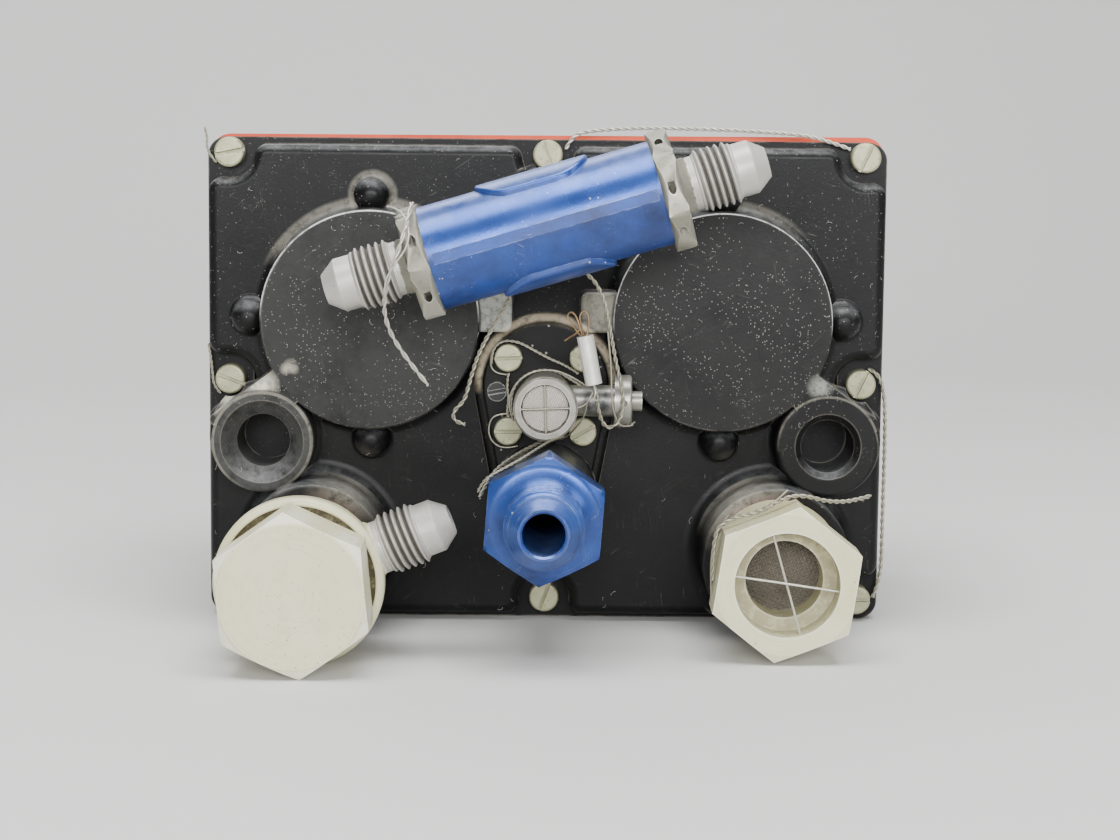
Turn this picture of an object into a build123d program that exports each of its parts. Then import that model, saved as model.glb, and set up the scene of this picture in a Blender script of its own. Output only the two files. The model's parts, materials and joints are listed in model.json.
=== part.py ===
from build123d import *
import math
import os

# Rear half of a cabin pressure controller with its outflow valve dial.
# Every piece is drawn as seen from behind: X to the right, Y up and Z out of the
# back, with Z = 0 on the outer face of the cover's flange. save() turns the pieces
# so that the case stands on its narrow bottom face and the back faces -Y.

# Case, gasket and cover flange
case_width = 129.4
case_height = 92.2
case_depth = 58.0
case_wall = 3.0
front_wall = 4.0
corner_radius = 3.6
flange_thickness = 3.2
gasket_thickness = 1.2
gasket_rise_left = 0.5
gasket_rise_right = 0.95
gasket_inset = 0.3
joint_land = 8.6

# Cover screws, fillister heads
screw_side_edge = 4.3
screw_top_edge = 2.9
screw_low_edge = 4.2
cover_screw_radius = 1.75
cover_screw_grip = 9.0
cover_head_radius = 2.85
cover_head_height = 2.9
slot_width = 0.75
slot_depth = 1.2
thread_gap = 0.05
hole_gap = 0.15

# Cover casting
plateau_height = 5.0
plateau_side_inset = 0.5
plateau_top_inset = 1.3
plateau_round = 1.8
notch_radius = 5.0
notch_corner_round = 2.4
driver_room = 0.35
cover_wall = 3.2
capsule_boss_x = 33.0
capsule_boss_y = 58.5
capsule_boss_radius = 20.8
capsule_boss_height = 9.0
capsule_pocket_wall = 3.0
lobe_radius = 3.3
lobe_height = 6.6
lobe_offset = 2.3
mount_boss_side_edge = 11.6
mount_boss_y = 35.45
mount_boss_radius = 9.6
mount_boss_height = 9.0
mount_boss_crown = 0.8
mount_bore_radius = 5.0
mount_bore_depth = 14.5
mount_sink_left = 2.8
mount_sink_right = 1.2
mount_web_slope = 36.5
mount_web_reach = 12.3
bridge_inner_x = 6.4
bridge_outer_x = 14.0
bridge_low_y = 56.4
bridge_high_y = 64.0
bridge_height = 8.0
port_side_edge = 21.5
port_y = 14.5
port_boss_radius = 13.8
port_boss_height = 15.0
port_boss_foot = 3.0
port_bore_radius = 8.6
outflow_y = 77.5
outflow_boss_radius = 9.0
outflow_boss_height = 11.0
outflow_bore_radius = 4.6

# Keyhole-shaped valve housing with its tower
keyhole_y = 46.0
keyhole_radius = 13.6
keyhole_height = 2.5
keyhole_round = 1.2
tower_y = 25.4
tower_radius = 9.8
tower_top = 35.3
tower_bore_radius = 6.2
plate_thickness = 2.3
plate_inset = 1.7
plate_screw_x = 7.05
plate_screw_y = 44.5
plate_screw_rise = 6.95
plate_screw_radius = 1.4
plate_screw_grip = 5.5
plate_head_radius = 2.6
plate_head_height = 2.3
trim_x = -9.2
trim_y = 44.9
trim_radius = 1.8

# Screened vent barrel in the middle of the plate
vent_y = 43.6
vent_radius = 5.9
vent_bore_radius = 4.5
vent_top = 27.0
vent_screen_depth = 1.9
vent_wire_radius = 0.22
vent_wire_turns = (92.0, 2.0)

# Side adjuster on the vent barrel
adjuster_y = 44.2
adjuster_out = 17.4
adjuster_barrel_radius = 2.9
adjuster_barrel_end = 12.8
adjuster_nut_radius = 4.85
adjuster_nut_thickness = 3.2
adjuster_screw_radius = 1.85
adjuster_screw_end = 17.9
lock_hole_radius = 0.75
lock_hole_drop = 2.6

# Flared tube ends, quarter inch and three eighths inch tube
small_thread_radius = 5.56
small_land_radius = 4.75
small_tip_radius = 2.7
small_bore_radius = 2.2
small_end_length = 14.2
small_thread_length = 7.2
large_thread_radius = 7.144
large_land_radius = 6.3
large_tip_radius = 4.5
large_bore_radius = 3.75
large_end_length = 14.1
large_thread_length = 9.0
flare_angle = 37.0

# Blue union on the tower
union_across_flats = 20.64
union_hex_height = 8.2
union_hex_turn = 4.2
union_chamfer_radius = 9.5
union_shank_length = 9.0
oring_section = 1.0

# Banjo on the left port
banjo_radius = 15.2
banjo_height = 24.4
banjo_base_radius = 11.5
banjo_waist = ((13.0, 8.8), (14.0, 14.8), (14.7, 18.8), (15.2, 21.3))
banjo_bore_radius = 10.2
banjo_recess_radius = 13.7
banjo_recess_depth = 1.6
banjo_round = 1.2
banjo_arm_out = 40.0
banjo_arm_angle = 22.0
banjo_arm_shoulder = 14.6
banjo_neck_radius = 5.2
banjo_head_across_flats = 25.4
banjo_head_height = 12.6
banjo_head_turn = -5.5
banjo_collar_height = 1.4
banjo_collar_radius = 12.3
banjo_shank_radius = 8.4
seal_washer = 1.2
port_thread_engagement = 12.0

# Screened hex inlet on the right port
inlet_across_flats = 24.6
inlet_hex_height = 10.0
inlet_hex_turn = 8.4
inlet_top = 43.5
inlet_shoulder_radius = 12.0
inlet_bore_radius = 9.4
inlet_step_radius = 7.0
inlet_step_depth = 6.5
inlet_bore_depth = 14.0
inlet_wire_depth = 2.2
inlet_wire_radius = 0.35
inlet_wire_turns = (-74.0, -8.0)
screen_thickness = 0.6

# In-line filter across the outflow port
filter_x = -0.2
filter_out = 41.0
filter_rise = 16.6
filter_radius = 9.25
filter_half = 20.9
filter_bore_radius = 7.7
filter_end_round = 0.8
filter_hex_across_flats = 18.6
filter_hex_turn_left = 36.0
filter_hex_turn_right = 7.0
filter_hex_thickness = 3.7
filter_collar_radius = 4.9
filter_collar_length = 1.4
filter_spigot_length = 5.0
filter_spigot_gap = 0.05
filter_pad_radius = 10.1
filter_pad_length = 20.5
filter_pad_width = 12.0
filter_pad_round = 0.6
rib_angle = 1.0
rib_height = 0.3
rib_width = 2.0
filter_neck_radius = 6.6
filter_neck_drop = 12.2
element_radius = 6.3
stem_across_flats = 14.3
stem_hex_height = 4.0
stem_pipe_radius = 4.5
stem_depth = 6.0

# Lead seal sleeve and lock wire
sleeve_radius = 1.55
sleeve_length = 9.0
wire_radius = 0.45

# Face plate, window and dial
plate_depth = 3.0
dial_y = 53.0
window_radius = 25.4
glass_radius = 27.6
glass_thickness = 2.0
dial_radius = 24.2
dial_thickness = 1.0
dial_gap = 1.2
case_window_radius = 26.6
panel_hole_side_edge = 7.2
panel_hole_end_edge = 8.2
panel_hole_radius = 2.1
panel_hole_depth = 11.0
face_screw_side_edge = 6.2
face_screw_spread = 16.0
face_screw_radius = 1.5
face_screw_length = 7.0
face_head_radius = 2.9

# Dial gearing
gear_module = 1.0
dial_teeth = 48
pinion_teeth = 24
gear_backlash = 0.16
gear_thickness = 2.4
gear_clearance = 1.4
gear_plate_thickness = 2.0
gear_plate_gap = 14.0
dial_shaft_radius = 2.5
gear_boss_radius = 5.0
gear_boss_height = 2.4
running_fit = 0.03
bush_wall = 1.6
bush_flange_radius = 6.0
bush_flange_thickness = 1.0
bush_length = 9.0
pillar_radius = 3.0
pillar_screw_radius = 1.3

# Knobs and their shafts
selector_y = dial_y - gear_module * (dial_teeth + pinion_teeth) / 2
selector_shaft_radius = 3.0
selector_knob_radius = 10.5
selector_knob_height = 13.0
rate_x = 40.0
rate_y = 17.0
rate_shaft_radius = 2.5
rate_knob_radius = 7.5
rate_knob_height = 11.0
knob_gap = 0.8
knob_flutes = 18
knob_flute_radius = 0.9
knob_round = 1.0
set_screw_radius = 1.2
rate_sleeve_radius = 5.5
rate_sleeve_length = 22.0
rate_slot_width = 1.0

# Capsules and metering beam
capsule_radius = 15.6
capsule_ribs = 4
capsule_pitch = 2.6
capsule_rim = 2.0
capsule_crease = 0.3
capsule_neck_radius = 5.0
capsule_button_radius = 2.2
capsule_stud_radius = 3.0
capsule_stud_length = 1.2
beam_width = 8.0
beam_thickness = 2.2
beam_gap = 0.75
beam_half_length = 37.0
beam_hub_radius = 3.6
beam_pin_radius = 1.5
bracket_ear = 2.4
bracket_gap = 0.4
bracket_base = 2.4
jet_x = 14.0
jet_radius = 3.0
jet_bore_radius = 0.9
jet_gap = 0.6

# Levels along Z, worked out from the stack
joint_level = -flange_thickness
case_rear = joint_level - gasket_thickness
case_front = case_rear - case_depth
face_level = case_front - plate_depth
inner_front = case_front + front_wall
cover_face_y = -case_depth / 2 + case_rear
boss_level = plateau_height
keyhole_level = plateau_height + keyhole_height
plate_level = keyhole_level + plate_thickness
cavity_roof = plateau_height - cover_wall
port_level = plateau_height + port_boss_height
outflow_level = plateau_height + outflow_boss_height
pocket_roof = plateau_height + capsule_boss_height - capsule_pocket_wall
dial_level = case_front + dial_gap
gear_level = inner_front + gear_clearance
gear_plate_level = inner_front + gear_plate_gap
banjo_base = port_level + seal_washer
banjo_top = banjo_base + banjo_height
beam_level = case_rear - 1.0

back_view = Plane(origin=(0, cover_face_y, 0), x_dir=(1, 0, 0), z_dir=(0, -1, 0))
filter_frame = Pos(filter_x, outflow_y, filter_out) * Rot(0, 0, filter_rise) * Rot(0, 90, 0)

half_width = case_width / 2
middle_y = case_height / 2
screw_x = half_width - screw_side_edge
screw_top = case_height - screw_top_edge
screw_low = screw_low_edge
cover_screw_places = [(x, y) for x in (-screw_x, 0, screw_x) for y in (screw_low, screw_top)]
cover_screw_places += [(-screw_x, middle_y), (screw_x, middle_y)]
plate_screw_places = [
    (side * plate_screw_x, plate_screw_y + rise * plate_screw_rise)
    for side in (-1, 1)
    for rise in (-1, 1)
]
face_screw_x = half_width - face_screw_side_edge
face_screw_places = [
    (side * face_screw_x, middle_y + rise * face_screw_spread) for side in (-1, 1) for rise in (-1, 1)
]
panel_hole_x = half_width - panel_hole_side_edge
mount_boss_x = half_width - mount_boss_side_edge
port_x = half_width - port_side_edge
panel_hole_high = case_height - panel_hole_end_edge
panel_hole_ys = (panel_hole_end_edge, panel_hole_high)
panel_hole_places = [(side * panel_hole_x, y) for side in (-1, 1) for y in panel_hole_ys]
pillar_places = [(-30.0, 66.0), (30.0, 66.0), (-20.0, 24.0), (20.0, 24.0)]


def rod(radius, low, high):
    """Round bar along Z between two levels."""
    return Pos(0, 0, low) * Cylinder(radius, high - low, align=(Align.CENTER, Align.CENTER, Align.MIN))


def hex_bar(across_flats, low, high, turn=0.0):
    """Hexagonal bar along Z between two levels, one corner up, turned clockwise."""
    outline = RegularPolygon(across_flats / 2, 6, major_radius=False, rotation=90 - turn)
    return Pos(0, 0, low) * extrude(outline, amount=high - low)


def turned(outline):
    """Solid of revolution about Z from an outline of (radius, height) points."""
    return Rot(90, 0, 0) * revolve(make_face(Polyline(*outline, close=True)), axis=Axis.Y)


def chamfer_cone(radius, level, slope=30.0, reach=30.0):
    """Cone that turns the corners off a hexagon whose face is at a level."""
    drop = reach * math.tan(math.radians(slope))
    return turned([(0, level), (radius, level), (radius + reach, level - drop), (0, level - drop)])


def boss(radius, height, foot, crown, draft=0.0):
    """Cast boss on a level face, with a hollow fillet at its foot and a rounded crown."""
    root = radius + foot
    outline = make_face(
        Polyline((0, -1), (root, -1), (root, 0), (radius, 0), (radius - draft, height), (0, height), close=True)
    )
    outline = fillet(outline.vertices().sort_by_distance((radius, 0, 0))[0], foot * 0.95)
    outline = fillet(outline.vertices().sort_by_distance((radius - draft, height, 0))[0], crown)
    return Rot(90, 0, 0) * revolve(outline, axis=Axis.Y)


def slotted_head(radius, height, level, round_over):
    """Slotted screw head that stands on a level."""
    head = rod(radius, level, level + height)
    head = fillet(head.edges().group_by(Axis.Z)[-1], round_over)
    slot = Pos(0, 0, level + height) * Box(3 * radius, slot_width, 2 * slot_depth)
    return head - slot


def flare_end(thread, land, tip, bore, length, thread_length):
    """Tube end with its thread as a plain band, along +Z from its shoulder."""
    neck = 1.4
    cone_height = (land - tip) / math.tan(math.radians(flare_angle))
    outline = [
        (bore, 0),
        (land, 0),
        (land, neck),
        (thread, neck),
        (thread, neck + thread_length),
        (land, neck + thread_length),
        (land, length - cone_height),
        (tip, length),
        (bore, length),
    ]
    return turned(outline)


def small_flare_end():
    """Quarter inch tube end."""
    return flare_end(
        small_thread_radius,
        small_land_radius,
        small_tip_radius,
        small_bore_radius,
        small_end_length,
        small_thread_length,
    )


def tube(points, radius=wire_radius):
    """Wire along straight runs joined by the largest tangent arcs that fit."""
    corners = [Vector(*p) for p in points]
    radii = []
    for before, here, after in zip(corners, corners[1:], corners[2:]):
        turn = math.radians((here - before).get_angle(after - here))
        run = min((here - before).length, (after - here).length)
        radii.append(0.45 * run / math.tan(turn / 2))
    path = FilletPolyline(*points, radius=radii)
    return sweep(Plane(origin=path @ 0, z_dir=path % 0) * Circle(radius), path=path)


def cover_outline():
    return Pos(0, middle_y) * RectangleRounded(case_width, case_height, corner_radius)


def keyhole_outline(inset=0.0):
    """Round head over the vent with tangent sides down to the tower."""
    head = Pos(0, keyhole_y) * Circle(keyhole_radius - inset)
    foot = Pos(0, tower_y) * Circle(tower_radius - inset)
    drop = keyhole_y - tower_y
    lean = math.asin((keyhole_radius - tower_radius) / drop)
    sides = []
    for y, radius in ((keyhole_y, keyhole_radius - inset), (tower_y, tower_radius - inset)):
        sides.append((radius * math.cos(lean), y - radius * math.sin(lean)))
    (head_x, head_y), (foot_x, foot_y) = sides
    corners = ((head_x, head_y), (foot_x, foot_y), (-foot_x, foot_y), (-head_x, head_y))
    return head + foot + make_face(Polyline(*corners, close=True))


def make_plateau():
    """Raised field of the cover, cut back round every cover screw."""
    field = Pos(0, middle_y) * Rectangle(
        case_width - 2 * plateau_side_inset,
        case_height - 2 * plateau_top_inset,
    )
    for x, y in cover_screw_places:
        field -= Pos(x, y) * Circle(notch_radius)
    field = fillet(field.vertices(), notch_corner_round)
    body = extrude(field, amount=plateau_height)
    return fillet(body.edges().group_by(Axis.Z)[-1], plateau_round)


def make_capsule_boss(side):
    """Round housing over a capsule, with three lobes at its rim."""
    body = boss(capsule_boss_radius, capsule_boss_height, 2.0, 0.35, draft=0.3)
    reach = capsule_boss_radius + lobe_offset
    for angle in (90, 180 if side < 0 else 0, 270):
        body += Rot(0, 0, angle) * Pos(reach, 0, 0) * boss(lobe_radius, lobe_height, 1.0, lobe_radius * 0.9)
    return Pos(side * capsule_boss_x, capsule_boss_y, boss_level) * body


def make_mount_web(side):
    """Cast web that runs along the upper side of a mounting boss to the capsule housing."""
    slope = math.radians(mount_web_slope)
    middle = Vector(side * mount_boss_x, mount_boss_y)
    housing = Vector(side * capsule_boss_x, capsule_boss_y)
    along = Vector(-side * math.cos(slope), math.sin(slope))
    touch = middle + Vector(side * math.sin(slope), math.cos(slope)) * mount_boss_radius
    outer = touch - along * ((half_width - plateau_side_inset - abs(touch.X)) / math.cos(slope))
    corners = [outer, touch + along * mount_web_reach, (middle + housing) * 0.5, middle]
    web = make_face(Polyline(*[(corner.X, corner.Y) for corner in corners], close=True))
    web = fillet(web.vertices().sort_by_distance((outer.X, outer.Y, 0))[0], 1.2)
    return Pos(0, 0, boss_level - 3) * extrude(web, amount=mount_boss_height + 3)


def make_bridge(side):
    """Cast tab between a capsule housing and the head of the valve housing."""
    width = bridge_outer_x - bridge_inner_x
    height = bridge_high_y - bridge_low_y
    tab = extrude(RectangleRounded(width, height, 1.4), amount=bridge_height + 1)
    tab = fillet(tab.edges().group_by(Axis.Z)[-1], 0.6)
    middle_x = (bridge_inner_x + bridge_outer_x) / 2
    return Pos(side * middle_x, (bridge_low_y + bridge_high_y) / 2, boss_level - 1) * tab


def make_back_cover():
    body = Pos(0, 0, joint_level) * extrude(cover_outline(), amount=flange_thickness)
    body += make_plateau()
    below = (Align.CENTER, Align.MAX, Align.CENTER)
    below_field = Pos(0, plateau_top_inset + 0.3, 0) * Box(case_width, case_height, 3 * port_level, align=below)
    for side in (-1, 1):
        body += make_capsule_boss(side)
        body += make_mount_web(side)
        mount = boss(mount_boss_radius, mount_boss_height, 1.4, mount_boss_crown)
        body += Pos(side * mount_boss_x, mount_boss_y, boss_level) * mount
        port = boss(port_boss_radius, port_boss_height, port_boss_foot, 0.5)
        port = Pos(side * port_x, port_y, boss_level) * port
        body += port - below_field
        body += make_bridge(side)
    housing = extrude(keyhole_outline(), amount=keyhole_height + 2)
    body += Pos(0, 0, boss_level - 2) * fillet(housing.edges().group_by(Axis.Z)[-1], keyhole_round)
    body += Pos(0, tower_y, 0) * rod(tower_radius, boss_level, tower_top)
    body += Pos(0, outflow_y, boss_level) * boss(outflow_boss_radius, outflow_boss_height, 1.5, 0.5)
    body -= cover_hollow()
    for side in (-1, 1):
        sink = mount_sink_left if side < 0 else mount_sink_right
        body -= Pos(side * mount_boss_x, mount_boss_y, 0) * mount_bore(sink)
        body -= Pos(side * port_x, port_y, 0) * rod(port_bore_radius, joint_level, port_level + 1)
    body -= Pos(0, outflow_y, 0) * rod(outflow_bore_radius, joint_level, outflow_level + 1)
    body -= Pos(0, tower_y, 0) * rod(tower_bore_radius, joint_level, tower_top + 1)
    body -= Pos(0, vent_y, 0) * rod(vent_bore_radius - 1, joint_level, keyhole_level + 1)
    for x, y in cover_screw_places:
        body -= Pos(x, y, 0) * rod(cover_screw_radius + hole_gap, joint_level - 1, 1)
        body -= Pos(x, y, 0) * rod(cover_head_radius + driver_room, 0, outflow_level)
    for x, y in plate_screw_places:
        depth = plate_screw_grip - plate_thickness + 0.4
        body -= Pos(x, y, 0) * rod(plate_screw_radius + thread_gap, keyhole_level - depth, keyhole_level + 1)
    return body


def cover_hollow():
    """Inside of the cover: a shallow chamber and a round pocket under each capsule housing."""
    chamber = RectangleRounded(case_width - 2 * joint_land, case_height - 2 * joint_land, 4.0)
    hollow = Pos(0, middle_y, joint_level) * extrude(chamber, amount=cavity_roof - joint_level)
    pocket = capsule_boss_radius - capsule_pocket_wall
    for side in (-1, 1):
        hollow += Pos(side * capsule_boss_x, capsule_boss_y, 0) * rod(pocket, joint_level, pocket_roof)
        guard = rod(mount_bore_radius + cover_wall, joint_level, cavity_roof)
        hollow -= Pos(side * mount_boss_x, mount_boss_y, 0) * guard
    return hollow


def mount_bore(sink_depth):
    """Blind bore of a mounting boss with its countersink."""
    mouth = boss_level + mount_boss_height
    bore = rod(mount_bore_radius, mouth - mount_bore_depth, mouth + 1)
    sink = turned(
        [
            (0, mouth - sink_depth),
            (mount_bore_radius, mouth - sink_depth),
            (mount_bore_radius + sink_depth, mouth),
            (mount_bore_radius + sink_depth, mouth + 1),
            (0, mouth + 1),
        ]
    )
    return bore + sink


def make_cover_gasket():
    """Sheet gasket that stands a little proud along the top edge."""
    left = -half_width + gasket_inset
    right = half_width - gasket_inset
    outline = make_face(
        Polyline(
            (left, gasket_inset),
            (right, gasket_inset),
            (right, case_height + gasket_rise_right),
            (left, case_height + gasket_rise_left),
            close=True,
        )
    )
    outline = fillet(outline.vertices(), corner_radius)
    land = 2 * joint_land
    window = Pos(0, middle_y) * RectangleRounded(case_width - land, case_height - land, 4.0)
    outline -= window
    for x, y in cover_screw_places:
        outline -= Pos(x, y) * Circle(cover_screw_radius + hole_gap)
    return Pos(0, 0, case_rear) * extrude(outline, amount=gasket_thickness)


def make_cover_screws():
    turns = {0: -15, 1: 12, 2: 70, 3: -70, 4: 0, 5: 65, 6: -20, 7: 65}
    screws = []
    for index, (x, y) in enumerate(cover_screw_places):
        screw = slotted_head(cover_head_radius, cover_head_height, 0, 0.5)
        screw += rod(cover_screw_radius, -cover_screw_grip, 0)
        screws.append(Pos(x, y, 0) * Rot(0, 0, turns[index]) * screw)
    return Compound(screws)


def make_main_case():
    """Case casting: open at the back, front wall with the dial opening."""
    body = Pos(0, 0, case_front) * extrude(cover_outline(), amount=case_depth)
    room = RectangleRounded(case_width - 2 * case_wall, case_height - 2 * case_wall, 2.5)
    hollow = Pos(0, middle_y, inner_front) * extrude(room, amount=case_depth)
    pad_depth = cover_screw_grip + 4.0
    for x, y in cover_screw_places:
        hollow -= Pos(x, y, 0) * rod(cover_screw_radius + 3.2, case_rear - pad_depth, case_rear)
    hole_end = case_front + panel_hole_depth
    for x, y in panel_hole_places:
        hollow -= Pos(x, y, 0) * rod(panel_hole_radius + 2.6, inner_front - 1, hole_end + 2.0)
    screw_end = case_front + face_screw_length
    for x, y in face_screw_places:
        hollow -= Pos(x, y, 0) * rod(face_screw_radius + 2.6, inner_front - 1, screw_end + 2.0)
    body -= hollow
    body -= Pos(0, dial_y, 0) * rod(case_window_radius, case_front - 1, inner_front + 1)
    for x, y in cover_screw_places:
        body -= Pos(x, y, 0) * rod(cover_screw_radius + thread_gap, -cover_screw_grip - 1.5, case_rear + 1)
    for x, y in panel_hole_places:
        body -= Pos(x, y, 0) * rod(panel_hole_radius, case_front - 1, hole_end - plate_depth)
    for x, y in face_screw_places:
        body -= Pos(x, y, 0) * rod(face_screw_radius + thread_gap, case_front - 1, screw_end)
    bush_radius = selector_shaft_radius + running_fit + bush_wall
    body -= Pos(0, selector_y, 0) * rod(bush_radius, case_front - 1, inner_front + 1)
    body -= Pos(rate_x, rate_y, 0) * rod(rate_sleeve_radius - 1, case_front - 1, inner_front + 1)
    return body


def make_face_plate():
    """Front plate with the dial window, stepped from behind for its glass."""
    body = Pos(0, 0, face_level) * extrude(cover_outline(), amount=plate_depth)
    body = fillet(body.edges().group_by(Axis.Z)[0], 0.8)
    body -= Pos(0, dial_y, 0) * rod(window_radius, face_level - 1, case_front + 1)
    body -= Pos(0, dial_y, 0) * rod(glass_radius + hole_gap, case_front - glass_thickness, case_front + 1)
    body -= Pos(0, selector_y, 0) * rod(selector_shaft_radius + 1.2, face_level - 1, case_front + 1)
    body -= Pos(rate_x, rate_y, 0) * rod(rate_shaft_radius + 1.2, face_level - 1, case_front + 1)
    for x, y in panel_hole_places:
        body -= Pos(x, y, 0) * rod(panel_hole_radius, face_level - 1, case_front + 1)
    screw_hole = countersunk_bar(face_head_radius + hole_gap, face_screw_radius + hole_gap, case_front)
    for x, y in face_screw_places:
        body -= Pos(x, y, 0) * screw_hole
    return body


def countersunk_bar(head_radius, radius, high):
    """Countersunk bar from the face plate's front up to a level."""
    return turned(
        [
            (0, face_level),
            (head_radius, face_level),
            (radius, face_level + head_radius - radius),
            (radius, high),
            (0, high),
        ]
    )


def make_face_screws():
    screws = []
    for x, y in face_screw_places:
        screw = countersunk_bar(face_head_radius, face_screw_radius, case_front + face_screw_length - 0.5)
        slot = Pos(0, 0, face_level) * Box(3 * face_head_radius, slot_width, 1.4)
        screws.append(Pos(x, y, 0) * (screw - slot))
    return Compound(screws)


def make_window_glass():
    return Pos(0, dial_y, 0) * rod(glass_radius, case_front - glass_thickness, case_front)


def make_dial_disc():
    disc = rod(dial_radius, dial_level, dial_level + dial_thickness)
    disc += rod(gear_boss_radius, dial_level, dial_level + gear_boss_height)
    disc -= rod(dial_shaft_radius, dial_level - 1, dial_level + gear_boss_height + 1)
    return Pos(0, dial_y, 0) * disc


def gear(teeth, phase):
    """Spur gear blank with straight-flanked teeth cut to run with backlash."""
    pitch_radius = gear_module * teeth / 2
    tip = pitch_radius + 0.95 * gear_module
    root = pitch_radius - 1.25 * gear_module
    half_pitch = math.pi * gear_module / 4 - gear_backlash / 2
    flank = math.tan(math.radians(20))
    points = []
    for index in range(teeth):
        middle = 2 * math.pi * (index + phase) / teeth
        for radius, side in ((root, -1), (tip, -1), (tip, 1), (root, 1)):
            half_width_here = half_pitch - (radius - pitch_radius) * flank
            angle = middle + side * half_width_here / radius
            points.append((radius * math.cos(angle), radius * math.sin(angle)))
    blank = extrude(make_face(Polyline(*points, close=True)), amount=gear_thickness)
    return Pos(0, 0, gear_level) * blank


def make_dial_gear():
    body = gear(dial_teeth, 0)
    body += rod(gear_boss_radius, gear_level, gear_level + gear_thickness + gear_boss_height)
    for angle in range(0, 360, 60):
        body -= Rot(0, 0, angle) * Pos(14.0, 0, 0) * rod(4.6, gear_level - 1, gear_level + gear_thickness + 1)
    body -= rod(dial_shaft_radius, gear_level - 1, gear_level + gear_thickness + gear_boss_height + 1)
    return Pos(0, dial_y, 0) * Rot(0, 0, -90) * body


def make_selector_pinion():
    body = gear(pinion_teeth, 0.5)
    body += rod(gear_boss_radius + 0.5, gear_level, gear_level + gear_thickness + gear_boss_height)
    body -= rod(selector_shaft_radius, gear_level - 1, gear_level + gear_thickness + gear_boss_height + 1)
    return Pos(0, selector_y, 0) * Rot(0, 0, 90) * body


def make_dial_shaft():
    return Pos(0, dial_y, 0) * rod(dial_shaft_radius, dial_level, gear_plate_level + bush_length - 2.0)


def bush(bore, low, high, flange_low):
    """Plain flanged bush between two levels, its flange standing on a level."""
    body = rod(bore + bush_wall, low, high)
    body += rod(bush_flange_radius, flange_low, flange_low + bush_flange_thickness)
    return body - rod(bore, low - 1, high + 1)


def make_dial_bush():
    low = gear_plate_level - 2.0
    high = gear_plate_level + bush_length - 3.0
    flange_low = gear_plate_level + gear_plate_thickness
    return Pos(0, dial_y, 0) * bush(dial_shaft_radius + running_fit, low, high, flange_low)


def make_gear_plate():
    """Plate on four pillars that carries the dial bush."""
    outline = Pos(0, 46.0) * RectangleRounded(70.0, 52.0, 5.0)
    outline -= Pos(0, dial_y) * Circle(dial_shaft_radius + running_fit + bush_wall)
    outline -= Pos(0, selector_y) * Circle(gear_boss_radius + 4.0)
    for side in (-1, 1):
        outline -= Pos(side * 20.0, 46.0) * SlotOverall(22.0, 9.0, rotation=90)
    for x, y in pillar_places:
        outline -= Pos(x, y) * Circle(pillar_screw_radius + hole_gap)
    return Pos(0, 0, gear_plate_level) * extrude(outline, amount=gear_plate_thickness)


def make_gear_plate_pillars():
    pillars = []
    for x, y in pillar_places:
        pillar = rod(pillar_radius, inner_front, gear_plate_level)
        pillar -= rod(pillar_screw_radius + thread_gap, gear_plate_level - 6, gear_plate_level + 1)
        pillars.append(Pos(x, y, 0) * pillar)
    return Compound(pillars)


def make_gear_plate_screws():
    top = gear_plate_level + gear_plate_thickness
    screws = []
    for x, y in pillar_places:
        screw = slotted_head(2.3, 1.7, top, 0.3)
        screw += rod(pillar_screw_radius, top - 6.5, top)
        screws.append(Pos(x, y, 0) * Rot(0, 0, 30) * screw)
    return Compound(screws)


def knob(radius, height, bore, depth):
    """Fluted instrument knob whose back face is at Z = 0 and front at -height."""
    body = rod(radius, -height, 0)
    body = fillet(body.edges().group_by(Axis.Z)[0], knob_round)
    for index in range(knob_flutes):
        flute = Pos(radius + 0.25, 0, 0) * rod(knob_flute_radius, -height + 2.2, 1)
        body -= Rot(0, 0, 360 * index / knob_flutes) * flute
    body -= rod(bore, -depth, 1)
    body -= Pos(0, 0, -height / 2) * Rot(0, 90, 0) * rod(set_screw_radius + thread_gap, bore - 0.5, radius + 1)
    return body


def set_screw(radius, height, shaft):
    """Set screw of a knob, from the shaft out to just under the flutes."""
    return Pos(0, 0, -height / 2) * Rot(0, 90, 0) * rod(set_screw_radius, shaft + 0.02, radius - 1.0)


def knob_level():
    return face_level - knob_gap


def make_selector_knob():
    body = knob(selector_knob_radius, selector_knob_height, selector_shaft_radius, selector_knob_height - 3.0)
    return Pos(0, selector_y, knob_level()) * body


def make_selector_set_screw():
    return Pos(0, selector_y, knob_level()) * set_screw(
        selector_knob_radius, selector_knob_height, selector_shaft_radius
    )


def make_selector_shaft():
    tip = knob_level() - (selector_knob_height - 3.0)
    inner_end = gear_level + gear_thickness + gear_boss_height + 0.6
    return Pos(0, selector_y, 0) * rod(selector_shaft_radius, tip, inner_end)


def make_selector_bush():
    body = rod(selector_shaft_radius + running_fit + bush_wall, case_front, inner_front)
    body += rod(bush_flange_radius, inner_front, inner_front + bush_flange_thickness)
    body -= rod(selector_shaft_radius + running_fit, case_front - 1, inner_front + bush_flange_thickness + 1)
    return Pos(0, selector_y, 0) * body


def make_rate_knob():
    body = knob(rate_knob_radius, rate_knob_height, rate_shaft_radius, rate_knob_height - 3.0)
    return Pos(rate_x, rate_y, knob_level()) * body


def make_rate_set_screw():
    return Pos(rate_x, rate_y, knob_level()) * set_screw(rate_knob_radius, rate_knob_height, rate_shaft_radius)


def make_rate_spindle():
    """Rate spindle: a plug with a tapered slot that turns in its sleeve."""
    tip = knob_level() - (rate_knob_height - 3.0)
    end = case_front + rate_sleeve_length - 1.5
    spindle = rod(rate_shaft_radius, tip, end)
    slot = Pos(0, rate_shaft_radius, end - 4.0) * Rot(10, 0, 0) * Box(rate_slot_width, 2.0, 10.0)
    return Pos(rate_x, rate_y, 0) * (spindle - slot)


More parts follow.
